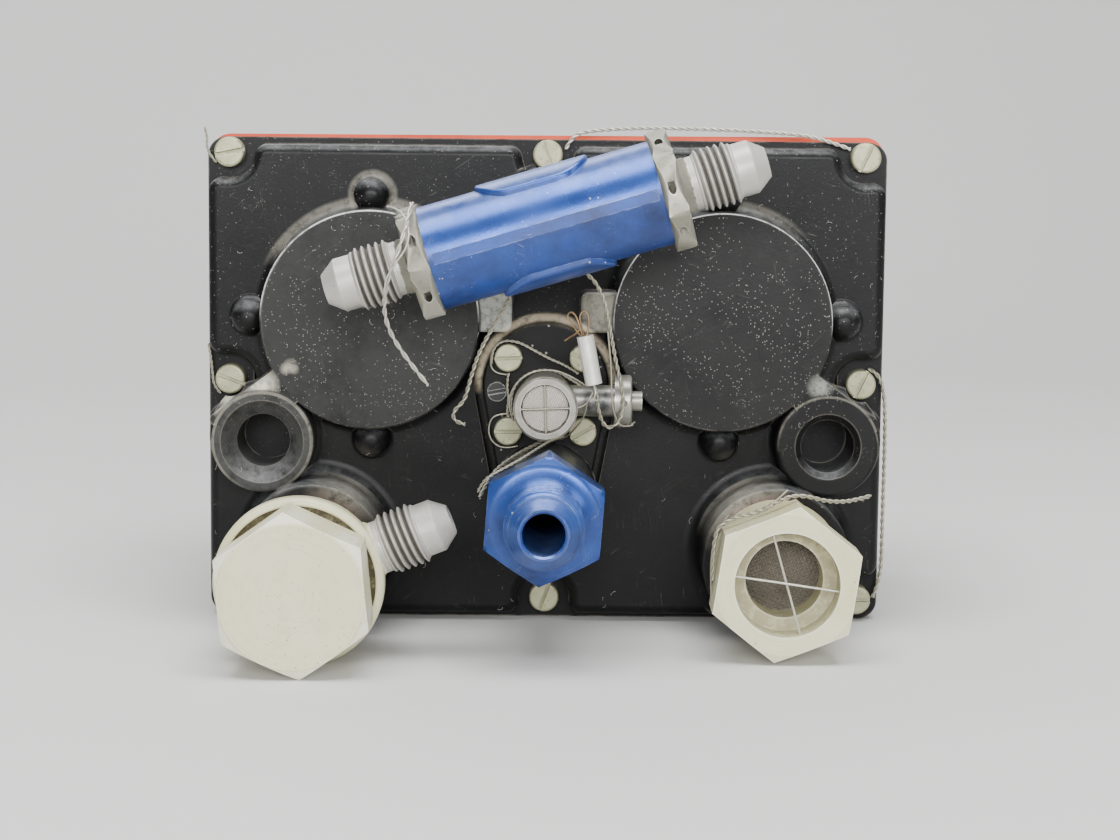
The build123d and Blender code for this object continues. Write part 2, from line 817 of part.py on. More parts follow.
def make_rate_sleeve():
    """Closed sleeve of the rate valve with its side port, held in the front wall."""
    body = rod(rate_sleeve_radius - 1, case_front, case_front + rate_sleeve_length)
    body += rod(rate_sleeve_radius + 1.5, inner_front, inner_front + 1.6)
    body += rod(rate_sleeve_radius, inner_front + 1.6, case_front + rate_sleeve_length)
    body -= rod(rate_shaft_radius + running_fit, case_front - 1, case_front + rate_sleeve_length - 1.0)
    vent_level = case_front + rate_sleeve_length - 5.0
    body -= Pos(0, 0, vent_level) * Rot(-90, 0, 0) * rod(0.8, 0, rate_sleeve_radius + 1)
    return Pos(rate_x, rate_y, 0) * body


def make_capsule(side):
    """Evacuated capsule of pressed diaphragms, on a stud in the roof of its pocket."""
    top = pocket_roof - capsule_stud_length
    bottom = beam_level + beam_gap
    outline = [(0, pocket_roof), (capsule_stud_radius, pocket_roof), (capsule_stud_radius, top)]
    for index in range(capsule_ribs):
        high = top - index * capsule_pitch
        low = high - capsule_pitch
        outline += [
            (capsule_radius - capsule_rim, high - capsule_crease),
            (capsule_radius, high - 0.35 * capsule_pitch),
            (capsule_radius, low + 0.35 * capsule_pitch),
            (capsule_radius - capsule_rim, low + capsule_crease),
            (capsule_neck_radius, low),
        ]
    outline += [(capsule_button_radius, low), (capsule_button_radius, bottom), (0, bottom)]
    return Pos(side * capsule_boss_x, capsule_boss_y, 0) * turned(outline)


def make_metering_beam():
    """Balance beam between the two capsules, with a hub on a vertical pin."""
    body = Box(2 * beam_half_length, beam_width, beam_thickness, align=(Align.CENTER, Align.CENTER, Align.MAX))
    body = Pos(0, 0, beam_level) * body
    hub = Rot(90, 0, 0) * Cylinder(beam_hub_radius, beam_width)
    body += Pos(0, 0, beam_level - beam_thickness / 2) * hub
    pin_hole = Rot(90, 0, 0) * Cylinder(beam_pin_radius + running_fit, beam_width + 2)
    body -= Pos(0, 0, beam_level - beam_thickness / 2) * pin_hole
    return Pos(0, capsule_boss_y, 0) * body


def make_beam_pin():
    length = beam_width + 2 * (bracket_gap + bracket_ear)
    pin = Rot(90, 0, 0) * Cylinder(beam_pin_radius, length)
    return Pos(0, capsule_boss_y, beam_level - beam_thickness / 2) * pin


def make_beam_bracket():
    """Forked bracket under the roof of the cover that holds the beam's pin."""
    inner = beam_width + 2 * bracket_gap
    outer = inner + 2 * bracket_ear
    low = beam_level - beam_thickness / 2 - beam_pin_radius - 2.0
    body = Pos(0, 0, low) * Box(8.0, outer, cavity_roof - low, align=(Align.CENTER, Align.CENTER, Align.MIN))
    gap = Box(30.0, inner, cavity_roof - bracket_base - low, align=(Align.CENTER, Align.CENTER, Align.MIN))
    body -= Pos(0, 0, low) * gap
    pin_hole = Rot(90, 0, 0) * Cylinder(beam_pin_radius, outer + 2)
    body -= Pos(0, 0, beam_level - beam_thickness / 2) * pin_hole
    return Pos(0, capsule_boss_y, 0) * body


def make_metering_jet():
    """Turned jet whose mouth faces the beam."""
    body = turned(
        [
            (jet_bore_radius, cavity_roof),
            (jet_radius, cavity_roof),
            (jet_radius, beam_level + 3.0),
            (jet_bore_radius + 0.4, beam_level + jet_gap),
            (jet_bore_radius, beam_level + jet_gap),
        ]
    )
    return Pos(jet_x, capsule_boss_y, 0) * body


def make_valve_plate():
    """Keyhole-shaped plate over the valve housing."""
    plate = Pos(0, 0, keyhole_level) * extrude(keyhole_outline(plate_inset), amount=plate_thickness)
    plate = fillet(plate.edges().group_by(Axis.Z)[-1], 0.5)
    plate -= Pos(0, tower_y, 0) * rod(tower_radius + hole_gap, keyhole_level - 1, plate_level + 1)
    plate -= Pos(0, vent_y, 0) * rod(vent_bore_radius - 1, keyhole_level - 1, plate_level + 1)
    plate -= Pos(trim_x, trim_y, 0) * rod(trim_radius + thread_gap, keyhole_level - 1, plate_level + 1)
    for x, y in plate_screw_places:
        plate -= Pos(x, y, 0) * rod(plate_screw_radius + hole_gap, keyhole_level - 1, plate_level + 1)
    return plate


def make_valve_plate_screws():
    turns = (0, 3, 30, -25)
    screws = []
    for turn, (x, y) in zip(turns, plate_screw_places):
        screw = slotted_head(plate_head_radius, plate_head_height, plate_level, 0.4)
        screw += rod(plate_screw_radius, plate_level - plate_screw_grip, plate_level)
        screws.append(Pos(x, y, 0) * Rot(0, 0, turn) * screw)
    return Compound(screws)


def make_trim_adjuster():
    body = rod(trim_radius, keyhole_level, plate_level + 0.4)
    body -= Pos(0, 0, plate_level + 0.4) * Rot(0, 0, 10) * Box(10, slot_width, 1.6)
    return Pos(trim_x, trim_y, 0) * body


def make_vent_barrel():
    """Barrel of the screened vent, with a step that the screen rests on."""
    step = vent_top - vent_screen_depth
    body = turned(
        [
            (vent_bore_radius - 1, plate_level),
            (vent_radius - 0.7, plate_level),
            (vent_radius - 0.7, vent_top - 6.0),
            (vent_radius, vent_top - 5.4),
            (vent_radius, vent_top - 0.4),
            (vent_radius - 0.4, vent_top),
            (vent_bore_radius, vent_top),
            (vent_bore_radius, step - screen_thickness),
            (vent_bore_radius - 1, step - screen_thickness),
        ]
    )
    body = Pos(0, vent_y, 0) * body
    flat = Pos(vent_radius - 1.6, adjuster_y, adjuster_out) * Rot(0, 90, 0)
    return body - flat * rod(adjuster_screw_radius + thread_gap, -0.5, 4.0)


def make_vent_screen():
    step = vent_top - vent_screen_depth
    return Pos(0, vent_y, 0) * rod(vent_bore_radius, step - screen_thickness, step)


def cross_wires(span, level, radius, first, second):
    """Two straight retaining wires that cross in a mouth, lying on each other."""
    across = Rot(0, 90, 0) * Cylinder(radius, 2 * span)
    wires = Rot(0, 0, first) * across + Pos(0, 0, radius) * Rot(0, 0, second) * across
    return Pos(0, 0, level) * wires


def make_vent_cross_wires():
    level = vent_top - 0.9
    return Pos(0, vent_y, 0) * cross_wires(vent_bore_radius - 0.02, level, vent_wire_radius, *vent_wire_turns)


def make_side_adjuster_barrel():
    """Turned barrel on the vent barrel's side."""
    start = math.sqrt((vent_radius - 0.7) ** 2 - adjuster_barrel_radius**2)
    barrel = rod(adjuster_barrel_radius, start, adjuster_barrel_end)
    barrel -= rod(adjuster_screw_radius + thread_gap, start - 1, adjuster_barrel_end + 1)
    barrel = Pos(0, adjuster_y, adjuster_out) * Rot(0, 90, 0) * barrel
    return barrel - Pos(0, vent_y, 0) * rod(vent_radius - 0.7, 0, vent_top)


def make_side_adjuster_nut():
    """Round nut drilled for lock wire."""
    nut = rod(adjuster_nut_radius, adjuster_barrel_end, adjuster_barrel_end + adjuster_nut_thickness)
    nut = fillet(nut.edges().group_by(Axis.Z)[-1], 0.5)
    nut -= rod(adjuster_screw_radius + thread_gap, adjuster_barrel_end - 1, adjuster_barrel_end + 6)
    middle = adjuster_barrel_end + adjuster_nut_thickness / 2
    for angle in (60, 180, 300):
        hole = Pos(0, 0, middle) * Rot(0, 0, angle) * Rot(0, 90, 0)
        nut -= hole * rod(lock_hole_radius, adjuster_screw_radius + 0.8, adjuster_nut_radius + 1)
    return Pos(0, adjuster_y, adjuster_out) * Rot(0, 90, 0) * nut


def make_side_adjuster_screw():
    screw = rod(adjuster_screw_radius, vent_radius - 1.9, adjuster_screw_end)
    return Pos(0, adjuster_y, adjuster_out) * Rot(0, 90, 0) * screw


def make_union_fitting():
    hex_top = tower_top + union_hex_height
    body = hex_bar(union_across_flats, tower_top, hex_top, union_hex_turn)
    body &= chamfer_cone(union_chamfer_radius, hex_top)
    body += rod(tower_bore_radius - thread_gap, tower_top - union_shank_length, tower_top)
    body -= rod(large_bore_radius, tower_top - union_shank_length - 1, hex_top + 1)
    body -= Pos(0, 0, tower_top) * torus_groove(tower_bore_radius + oring_section)
    end = flare_end(
        large_thread_radius,
        large_land_radius,
        large_tip_radius,
        large_bore_radius,
        large_end_length,
        large_thread_length,
    )
    body += Pos(0, 0, hex_top) * end
    return Pos(0, tower_y, 0) * body


def torus_groove(radius):
    """Room for the seal ring under the union."""
    return turned(
        [
            (radius - oring_section, -0.1),
            (radius + oring_section, -0.1),
            (radius + oring_section, 1.5 * oring_section),
            (radius - oring_section, 1.5 * oring_section),
        ]
    )


def make_union_oring():
    ring = Torus(tower_bore_radius + oring_section, 0.7 * oring_section)
    return Pos(0, tower_y, tower_top + 0.72 * oring_section) * ring


def make_banjo_body():
    """Tall banjo ring with its threaded arm."""
    side = [(radius, banjo_base + rise) for radius, rise in banjo_waist]
    foot = [(0, banjo_base), (banjo_base_radius, banjo_base)]
    body = turned([*foot, *side, (banjo_radius, banjo_top), (0, banjo_top)])
    body = fillet(body.edges().group_by(Axis.Z)[-1], banjo_round)
    body = fillet(body.edges().group_by(Axis.Z)[0], 0.8)
    arm = Pos(0, 0, banjo_arm_out) * Rot(0, 0, banjo_arm_angle) * Rot(0, 90, 0)
    neck = turned(
        [
            (0, banjo_bore_radius),
            (banjo_neck_radius + 1.4, banjo_bore_radius),
            (banjo_neck_radius, banjo_arm_shoulder - 0.6),
            (small_land_radius, banjo_arm_shoulder),
            (0, banjo_arm_shoulder),
        ]
    )
    body += arm * neck
    body += arm * Pos(0, 0, banjo_arm_shoulder) * small_flare_end()
    body -= rod(banjo_bore_radius, banjo_base - 1, banjo_top + 1)
    body -= rod(banjo_recess_radius, banjo_top - banjo_recess_depth, banjo_top + 1)
    body -= arm * rod(small_bore_radius, 0, banjo_arm_shoulder + 1)
    return Pos(-port_x, port_y, 0) * body


def make_banjo_gasket():
    ring = rod(banjo_base_radius - 0.3, port_level, banjo_base)
    ring -= rod(port_bore_radius + 0.2, port_level - 1, banjo_base + 1)
    return Pos(-port_x, port_y, 0) * ring


def make_banjo_bolt():
    """Big hex bolt that clamps the banjo, drilled to feed the arm."""
    seat = banjo_top - banjo_recess_depth
    hex_low = banjo_top + banjo_collar_height - 0.6
    hex_top = hex_low + banjo_head_height
    body = hex_bar(banjo_head_across_flats, hex_low, hex_top, banjo_head_turn)
    body &= chamfer_cone(banjo_head_across_flats / 2 - 0.1, hex_top)
    body += rod(banjo_collar_radius, seat, hex_low)
    body += rod(banjo_shank_radius, port_level - port_thread_engagement, seat)
    body -= rod(small_bore_radius + 1.5, port_level - port_thread_engagement - 1, banjo_arm_out + 3)
    cross = Pos(0, 0, banjo_arm_out) * Rot(0, 90, 0) * Cylinder(small_bore_radius, 2 * banjo_shank_radius + 2)
    return Pos(-port_x, port_y, 0) * (body - Rot(0, 0, banjo_arm_angle) * cross)


def make_inlet_fitting():
    """Hex inlet whose stepped mouth holds a screen."""
    hex_low = inlet_top - inlet_hex_height
    body = hex_bar(inlet_across_flats, hex_low, inlet_top, inlet_hex_turn)
    body &= chamfer_cone(inlet_across_flats / 2 + 0.3, inlet_top, 20)
    body += rod(inlet_shoulder_radius, port_level + seal_washer, hex_low)
    body += rod(banjo_shank_radius, port_level - port_thread_engagement, port_level + seal_washer)
    body -= rod(inlet_bore_radius, inlet_top - inlet_step_depth, inlet_top + 1)
    body -= rod(inlet_step_radius, inlet_top - inlet_bore_depth, inlet_top)
    body -= rod(inlet_step_radius - 2.5, port_level - port_thread_engagement - 1, inlet_top)
    return Pos(port_x, port_y, 0) * body


def make_inlet_gasket():
    ring = rod(inlet_shoulder_radius - 0.3, port_level, port_level + seal_washer)
    ring -= rod(port_bore_radius + 0.2, port_level - 1, port_level + seal_washer + 1)
    return Pos(port_x, port_y, 0) * ring


def make_inlet_screen():
    level = inlet_top - inlet_bore_depth
    return Pos(port_x, port_y, 0) * rod(inlet_step_radius, level, level + screen_thickness)


def make_inlet_cross_wires():
    level = inlet_top - inlet_wire_depth
    wires = cross_wires(inlet_bore_radius - 0.02, level, inlet_wire_radius, *inlet_wire_turns)
    return Pos(port_x, port_y, 0) * wires


def filter_pad(side):
    """Long forged pad that follows the filter body a little proud of it."""
    pad = extrude(SlotOverall(filter_pad_length, filter_pad_width), amount=side * filter_pad_radius)
    pad = Rot(90, 0, 0) * Rot(0, 0, 90) * pad
    pad &= rod(filter_pad_radius, -filter_pad_length, filter_pad_length)
    crown = pad.faces().filter_by(GeomType.CYLINDER).sort_by(lambda face: abs(face.center().Y))[-1]
    return fillet(crown.edges(), filter_pad_round)


def make_filter_body():
    """Body of the in-line filter, forged with pads, parting ribs and a rear neck."""
    body = rod(filter_radius, -filter_half, filter_half)
    for side in (-1, 1):
        body += filter_pad(side)
        rib = Box(2 * (filter_radius + rib_height), rib_width, 2 * (filter_half - filter_end_round))
        body += Rot(0, 0, -rib_angle) * rib
    body -= rod(filter_bore_radius, -filter_half - 1, filter_half + 1)
    body = filter_frame * body
    neck = rod(filter_neck_radius, filter_out - filter_neck_drop, filter_out - filter_bore_radius - 0.6)
    body += Pos(filter_x, outflow_y, 0) * neck
    drill = rod(outflow_bore_radius - 1.6, filter_out - filter_neck_drop - 1, filter_out)
    return body - Pos(filter_x, outflow_y, 0) * drill


def make_filter_end(side):
    """End fitting of the filter: spigot, hex drilled for lock wire, flared end."""
    spigot = filter_bore_radius - filter_spigot_gap
    corner = filter_hex_across_flats / math.sqrt(3)
    hex_high = filter_half + filter_hex_thickness
    body = hex_bar(filter_hex_across_flats, filter_half, hex_high)
    body &= chamfer_cone(corner - 0.5, hex_high)
    hole = Pos(0, corner - lock_hole_drop, filter_half + filter_hex_thickness / 2) * Rot(0, 90, 0)
    for angle in (0, 120, 240):
        body -= Rot(0, 0, angle) * hole * Cylinder(lock_hole_radius, 4 * lock_hole_drop)
    body += rod(spigot, filter_half - filter_spigot_length, filter_half)
    shoulder = hex_high + filter_collar_length
    body += rod(filter_collar_radius, hex_high, shoulder)
    body -= rod(small_bore_radius, filter_half - filter_spigot_length - 1, shoulder + 1)
    body += Pos(0, 0, shoulder) * small_flare_end()
    if side < 0:
        return filter_frame * Rot(0, 180, 0) * Rot(0, 0, -filter_hex_turn_left) * body
    return filter_frame * Rot(0, 0, -filter_hex_turn_right) * body


def make_filter_element():
    half = filter_half - filter_spigot_length - 0.1
    element = rod(element_radius, -half, half) - rod(element_radius - 2.0, -half - 1, half + 1)
    return filter_frame * element


def make_filter_stem():
    """Hex nipple that carries the filter on the outflow port."""
    hex_top = filter_out - filter_neck_drop
    body = hex_bar(stem_across_flats, hex_top - stem_hex_height, hex_top)
    body += rod(stem_pipe_radius + 1.6, outflow_level, hex_top - stem_hex_height)
    body += rod(stem_pipe_radius, outflow_level - stem_depth, outflow_level)
    body -= rod(outflow_bore_radius - 1.6, outflow_level - stem_depth - 1, hex_top + 1)
    return Pos(0, outflow_y, 0) * body


def make_seal_sleeve():
    """Crimped sleeve on the ends of the seal wire, leaning to the right."""
    top = Vector(7.1, 57.0, 26.0)
    low = Vector(8.8, 48.2, 26.0)
    lean = math.degrees(math.atan2(low.X - top.X, top.Y - low.Y))
    sleeve = Rot(0, 0, lean) * Rot(90, 0, 0) * Cylinder(sleeve_radius, sleeve_length)
    middle = (top + low) * 0.5
    return Pos(middle.X, middle.Y, middle.Z) * sleeve


def beside_filter(along, rise, out):
    """Place given along the filter, up across it and out from its axis."""
    place = filter_frame * Pos(-out, rise, along)
    return (place.position.X, place.position.Y, place.position.Z)


def make_lock_wires():
    """Twisted lock wires, each drawn as one plain tube of the pair's outer size."""
    top_edge = case_height + gasket_rise_right
    wires = {
        "top_edge_wire": [
            (cover_head_radius + 0.55, screw_top + 1.1, 1.6),
            (cover_head_radius + 1.75, top_edge + 0.05, 1.2),
            (0.15 * screw_x, top_edge + 0.95, 1.0),
            (0.30 * screw_x, top_edge + 1.45, 1.1),
            (0.50 * screw_x, top_edge + 1.35, 1.2),
            (0.70 * screw_x, top_edge + 0.85, 1.2),
            (screw_x - 9.4, top_edge + 0.15, 1.4),
            (screw_x - 3.0, screw_top + 1.6, 2.0),
        ],
        "right_edge_wire": [
            (screw_x + 1.5, middle_y + 3.0, 1.7),
            (half_width - 0.5, middle_y + 2.1, 2.4),
            (half_width + 0.65, middle_y - 4.1, 1.8),
            (half_width + 0.7, middle_y - 14.1, 1.5),
            (half_width + 0.6, screw_low + 15.8, 1.6),
            (half_width + 0.6, screw_low + 3.8, 1.8),
            (screw_x + 3.3, screw_low + 0.4, 1.7),
        ],
        "filter_wire": [
            beside_filter(-filter_half - 0.1, 10.4, 5.6),
            beside_filter(-filter_half - 1.9, 6.8, 10.4),
            beside_filter(-filter_half - 5.0, 2.4, 11.0),
            (-27.6, 67.4, 51.0),
            (-28.2, 61.4, 45.6),
            (-25.6, 55.4, 42.0),
            (-20.7, 49.2, 40.0),
        ],
        "pigtail_wire": [
            (-3.6, 70.6, 26.6),
            (-5.8, 65.2, 22.8),
            (-9.0, 59.4, 20.0),
            (-12.4, 53.2, 18.4),
            (-14.2, 47.2, 17.4),
            (-15.0, 43.9, 17.0),
            (-17.2, 41.9, 17.0),
            (-17.0, 39.9, 17.0),
            (-14.9, 39.5, 17.0),
        ],
        "union_wire": [
            (0.6, 37.2, 18.0),
            (-2.6, 36.0, 22.0),
            (-6.4, 34.6, 28.0),
            (-9.8, 32.4, 33.6),
            (-11.6, 28.8, 37.4),
        ],
        "inlet_wire": [
            (30.2, 14.3, 37.5),
            (30.2, 22.6, 37.5),
            (32.4, 25.3, 37.5),
            (38.4, 26.6, 37.5),
            (43.4, 29.6, 37.0),
            (47.1, 29.5, 36.0),
            (50.7, 28.2, 34.0),
            (55.5, 27.7, 31.0),
            (59.4, 28.4, 28.0),
        ],
        "seal_wire": [
            (3.8, 70.4, 26.4),
            (7.6, 68.4, 24.6),
            (10.3, 64.4, 22.8),
            (11.6, 58.8, 22.0),
            (12.8, 52.0, 22.4),
            (14.4, 46.2, 23.1),
            (14.0, 41.4, 23.1),
            (11.4, 39.2, 22.0),
            (9.6, 42.6, 23.6),
            (9.0, 47.9, 26.0),
        ],
    }
    return {name: tube(points) for name, points in wires.items()}


def save(name, piece):
    """Write a piece turned into the standing position."""
    placed = [solid.transform_shape(back_view.reverse_transform) for solid in piece.solids()]
    export_step(Compound(placed), f"parts/{name}.step")


def main():
    os.makedirs("parts", exist_ok=True)
    pieces = {
        "back_cover": make_back_cover(),
        "cover_gasket": make_cover_gasket(),
        "cover_screws": make_cover_screws(),
        "main_case": make_main_case(),
        "face_plate": make_face_plate(),
        "face_screws": make_face_screws(),
        "window_glass": make_window_glass(),
        "dial_disc": make_dial_disc(),
        "dial_shaft": make_dial_shaft(),
        "dial_gear": make_dial_gear(),
        "dial_bush": make_dial_bush(),
        "gear_plate": make_gear_plate(),
        "gear_plate_pillars": make_gear_plate_pillars(),
        "gear_plate_screws": make_gear_plate_screws(),
        "selector_knob": make_selector_knob(),
        "selector_set_screw": make_selector_set_screw(),
        "selector_shaft": make_selector_shaft(),
        "selector_pinion": make_selector_pinion(),
        "selector_bush": make_selector_bush(),
        "rate_knob": make_rate_knob(),
        "rate_set_screw": make_rate_set_screw(),
        "rate_spindle": make_rate_spindle(),
        "rate_sleeve": make_rate_sleeve(),
        "isobaric_capsule": make_capsule(-1),
        "rate_capsule": make_capsule(1),
        "metering_beam": make_metering_beam(),
        "beam_pin": make_beam_pin(),
        "beam_bracket": make_beam_bracket(),
        "metering_jet": make_metering_jet(),
        "valve_plate": make_valve_plate(),
        "valve_plate_screws": make_valve_plate_screws(),
        "trim_adjuster": make_trim_adjuster(),
        "vent_barrel": make_vent_barrel(),
        "vent_screen": make_vent_screen(),
        "vent_cross_wires": make_vent_cross_wires(),
        "side_adjuster_barrel": make_side_adjuster_barrel(),
        "side_adjuster_nut": make_side_adjuster_nut(),
        "side_adjuster_screw": make_side_adjuster_screw(),
        "union_fitting": make_union_fitting(),
        "union_oring": make_union_oring(),
        "banjo_body": make_banjo_body(),
        "banjo_gasket": make_banjo_gasket(),
        "banjo_bolt": make_banjo_bolt(),
        "inlet_fitting": make_inlet_fitting(),
        "inlet_gasket": make_inlet_gasket(),
        "inlet_screen": make_inlet_screen(),
        "inlet_cross_wires": make_inlet_cross_wires(),
        "filter_body": make_filter_body(),
        "filter_end_left": make_filter_end(-1),
        "filter_end_right": make_filter_end(1),
        "filter_element": make_filter_element(),
        "filter_stem": make_filter_stem(),
        "seal_sleeve": make_seal_sleeve(),
    }
    for name, solid in {**pieces, **make_lock_wires()}.items():
        save(name, solid)


main()
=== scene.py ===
import json
import math

import bmesh
import bpy
import numpy as np
from mathutils import Matrix, Vector


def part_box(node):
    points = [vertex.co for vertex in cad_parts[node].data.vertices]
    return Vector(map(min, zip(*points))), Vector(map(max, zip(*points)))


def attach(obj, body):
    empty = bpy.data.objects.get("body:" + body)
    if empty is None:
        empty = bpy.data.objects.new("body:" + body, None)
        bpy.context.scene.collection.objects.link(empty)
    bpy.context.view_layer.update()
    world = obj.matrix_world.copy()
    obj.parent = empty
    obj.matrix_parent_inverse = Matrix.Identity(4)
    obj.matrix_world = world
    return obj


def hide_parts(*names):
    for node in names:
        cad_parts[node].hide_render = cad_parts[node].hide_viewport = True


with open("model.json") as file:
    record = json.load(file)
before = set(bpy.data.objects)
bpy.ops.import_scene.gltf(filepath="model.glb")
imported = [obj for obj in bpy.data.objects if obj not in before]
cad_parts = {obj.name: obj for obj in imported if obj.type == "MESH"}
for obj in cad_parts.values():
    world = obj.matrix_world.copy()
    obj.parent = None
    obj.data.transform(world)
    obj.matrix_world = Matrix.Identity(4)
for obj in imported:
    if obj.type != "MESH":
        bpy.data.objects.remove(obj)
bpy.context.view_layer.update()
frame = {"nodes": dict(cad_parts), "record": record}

MM = 0.001
FACE_Y = -33.4  # the back cover's flange, from which every "out" is measured
FLOOR_DROP = 0.00005

# ---------------- places


def at(x, z, out):
    """Point in metres from a place on the back cover: right, up and out of its flange, in mm."""
    return Vector((x * MM, (FACE_Y - out) * MM, z * MM))


def metres(lengths):
    return {label: length * MM for label, length in lengths.items()}


def turned(degrees):
    return Matrix.Rotation(math.radians(degrees), 4, "Z")


def turn_out(x, z, out, turn=0.0):
    """Placement whose own Z points out of the back cover and whose own Y points up."""
    axes = Matrix(((1, 0, 0), (0, 0, -1), (0, 1, 0))).to_4x4()
    return Matrix.Translation(at(x, z, out)) @ axes @ turned(turn)


def turn_front(x, z, y):
    """Placement whose own Z points out of the dial side and whose own Y points up."""
    axes = Matrix(((-1, 0, 0), (0, 0, 1), (0, 1, 0))).to_4x4()
    return Matrix.Translation(Vector((x, y, z)) * MM) @ axes


def turn_along(place, direction):
    """Placement whose own Z points along a direction."""
    return Matrix.Translation(place) @ direction.to_track_quat("Z", "Y").to_matrix().to_4x4()


# ---------------- camera, floor and light

CAMERA_PLACE = (0.8, FACE_Y - 478.93, 95.97)
CAMERA_LEAN = (6.85, 0.24, 0.58)  # pitch, yaw and roll in degrees
SENSOR_WIDTH = 36
LENS_RATIO = 2500 / 1120  # focal length over picture width
LIGHT_AIM = (0, -0.04, 0.05)
LIGHTS = {
    # name: (place, size, power)
    "ceiling_light": ((0.0, -0.26, 0.85), (0.8, 0.5), 13.0),
    "front_light": ((0.02, -1.05, 0.30), (0.9, 0.26), 12.5),
    "side_light": ((0.85, -0.55, 0.5), (0.4, 0.4), 2.0),
    "rear_light": ((-0.2, 0.7, 0.75), (0.8, 0.4), 5.0),
}


def linked(name, data):
    """New object for some data, in the scene."""
    thing = bpy.data.objects.new(name, data)
    bpy.context.collection.objects.link(thing)
    return thing


def new_material(name, values):
    material = bpy.data.materials.new(name)
    material.use_nodes = True
    shader = material.node_tree.nodes["Principled BSDF"]
    for label, value in values.items():
        shader.inputs[label].default_value = value
    return material, shader


def make_camera():
    pitch, yaw, roll = (math.radians(a) for a in CAMERA_LEAN)
    level = Vector((math.sin(yaw), math.cos(yaw), 0))
    ahead = level * math.cos(pitch) - Vector((0, 0, math.sin(pitch)))
    right = Vector((math.cos(yaw), -math.sin(yaw), 0))
    up = level * math.sin(pitch) + Vector((0, 0, math.cos(pitch)))
    right, up = right * math.cos(roll) + up * math.sin(roll), up * math.cos(roll) - right * math.sin(roll)
    data = bpy.data.cameras.new("camera")
    data.sensor_width = SENSOR_WIDTH
    data.lens = SENSOR_WIDTH * LENS_RATIO
    camera = linked("camera", data)
    axes = Matrix((right, up, -ahead)).transposed().to_4x4()
    camera.matrix_world = Matrix.Translation(Vector(CAMERA_PLACE) * MM) @ axes
    bpy.context.scene.camera = camera


def make_floor():
    """Pale sweep: a level floor that curves up behind the object."""
    half_width, near, far, curve, top = 1.8, -1.6, 0.45, 0.35, 1.7
    profile = [(near, 0.0), (far, 0.0)]
    for step in range(1, 13):
        angle = math.radians(90 * step / 12)
        profile.append((far + curve * math.sin(angle), curve * (1 - math.cos(angle))))
    profile.append((far + curve, top))
    count = len(profile)
    verts = [(x, y, z - FLOOR_DROP) for x in (-half_width, half_width) for y, z in profile]
    faces = [(i, count + i, count + i + 1, i + 1) for i in range(count - 1)]
    mesh = bpy.data.meshes.new("floor_sweep")
    mesh.from_pydata(verts, [], faces)
    mesh.shade_smooth()
    paper = {"Base Color": (0.62, 0.62, 0.61, 1), "Roughness": 0.85}
    mesh.materials.append(new_material("floor_paper", paper)[0])
    linked("floor_sweep", mesh)


def make_light():
    for name, (place, size, power) in LIGHTS.items():
        data = bpy.data.lights.new(name, "AREA")
        data.shape = "RECTANGLE"
        data.size, data.size_y = size
        data.energy = power
        linked(name, data).matrix_world = turn_along(Vector(place), Vector(place) - Vector(LIGHT_AIM))
    world = bpy.data.worlds.new("studio")
    world.use_nodes = True
    sky = world.node_tree.nodes["Background"]
    sky.inputs["Color"].default_value = (0.8, 0.82, 0.85, 1)
    sky.inputs["Strength"].default_value = 0.22
    bpy.context.scene.world = world


# ---------------- node helpers


def shown(sockets, name=None):
    """First socket in use, of a given name or of any."""
    return next(socket for socket in sockets if socket.enabled and name in (None, socket.name))


class Tree:
    """Adds nodes to a node tree and joins them."""

    def __init__(self, tree):
        self.tree = tree

    def add(self, kind, settings=None, **inputs):
        node = self.tree.nodes.new(kind)
        for key, value in (settings or {}).items():
            setattr(node, key, value)
        for key, value in inputs.items():
            self.put(node.inputs[key.replace("_", " ")], value)
        return node

    def put(self, socket, value):
        if isinstance(value, bpy.types.NodeSocket):
            self.tree.links.new(value, socket)
        else:
            socket.default_value = value

    def math(self, operation, *values, clamp=False):
        node = self.add("ShaderNodeMath", {"operation": operation, "use_clamp": clamp})
        for socket, value in zip(node.inputs, values):
            self.put(socket, value)
        return node.outputs[0]

    def times(self, first, *others):
        for other in others:
            first = self.math("MULTIPLY", first, other)
        return first

    def plus(self, first, second, clamp=False):
        return self.math("ADD", first, second, clamp=clamp)

    def minus(self, first, second):
        return self.math("SUBTRACT", first, second)

    def over(self, first, second, clamp=False):
        return self.math("DIVIDE", first, second, clamp=clamp)

    def ramp(self, value, low, high, to_low=0.0, to_high=1.0):
        node = self.add("ShaderNodeMapRange", {"clamp": True})
        for socket, number in zip(node.inputs[:5], (value, low, high, to_low, to_high)):
            self.put(socket, number)
        return node.outputs["Result"]

    def vector(self, operation, first, second=None):
        node = self.add("ShaderNodeVectorMath", {"operation": operation})
        self.put(node.inputs[0], first)
        if second is not None:
            self.put(node.inputs[1], second)
        return node.outputs["Value" if operation in ("DOT_PRODUCT", "LENGTH") else "Vector"]

    def split(self, vector):
        return self.add("ShaderNodeSeparateXYZ", Vector=vector).outputs

    def joined(self, **parts):
        return self.add("ShaderNodeCombineXYZ", **parts).outputs[0]

    def mix(self, mask, first, second):
        node = self.add("ShaderNodeMix", {"data_type": "RGBA"})
        for index, value in ((0, mask), (6, first), (7, second)):
            self.put(node.inputs[index], value)
        return node.outputs[2]

    def place(self):
        return self.add("ShaderNodeTexCoord").outputs["Object"]

    def normal(self):
        return self.add("ShaderNodeNewGeometry").outputs["Normal"]

    def noise(self, vector, scale, detail=3.0, rough=0.55):
        node = self.add("ShaderNodeTexNoise", Vector=vector, Scale=scale, Detail=detail, Roughness=rough)
        return node.outputs["Fac"]


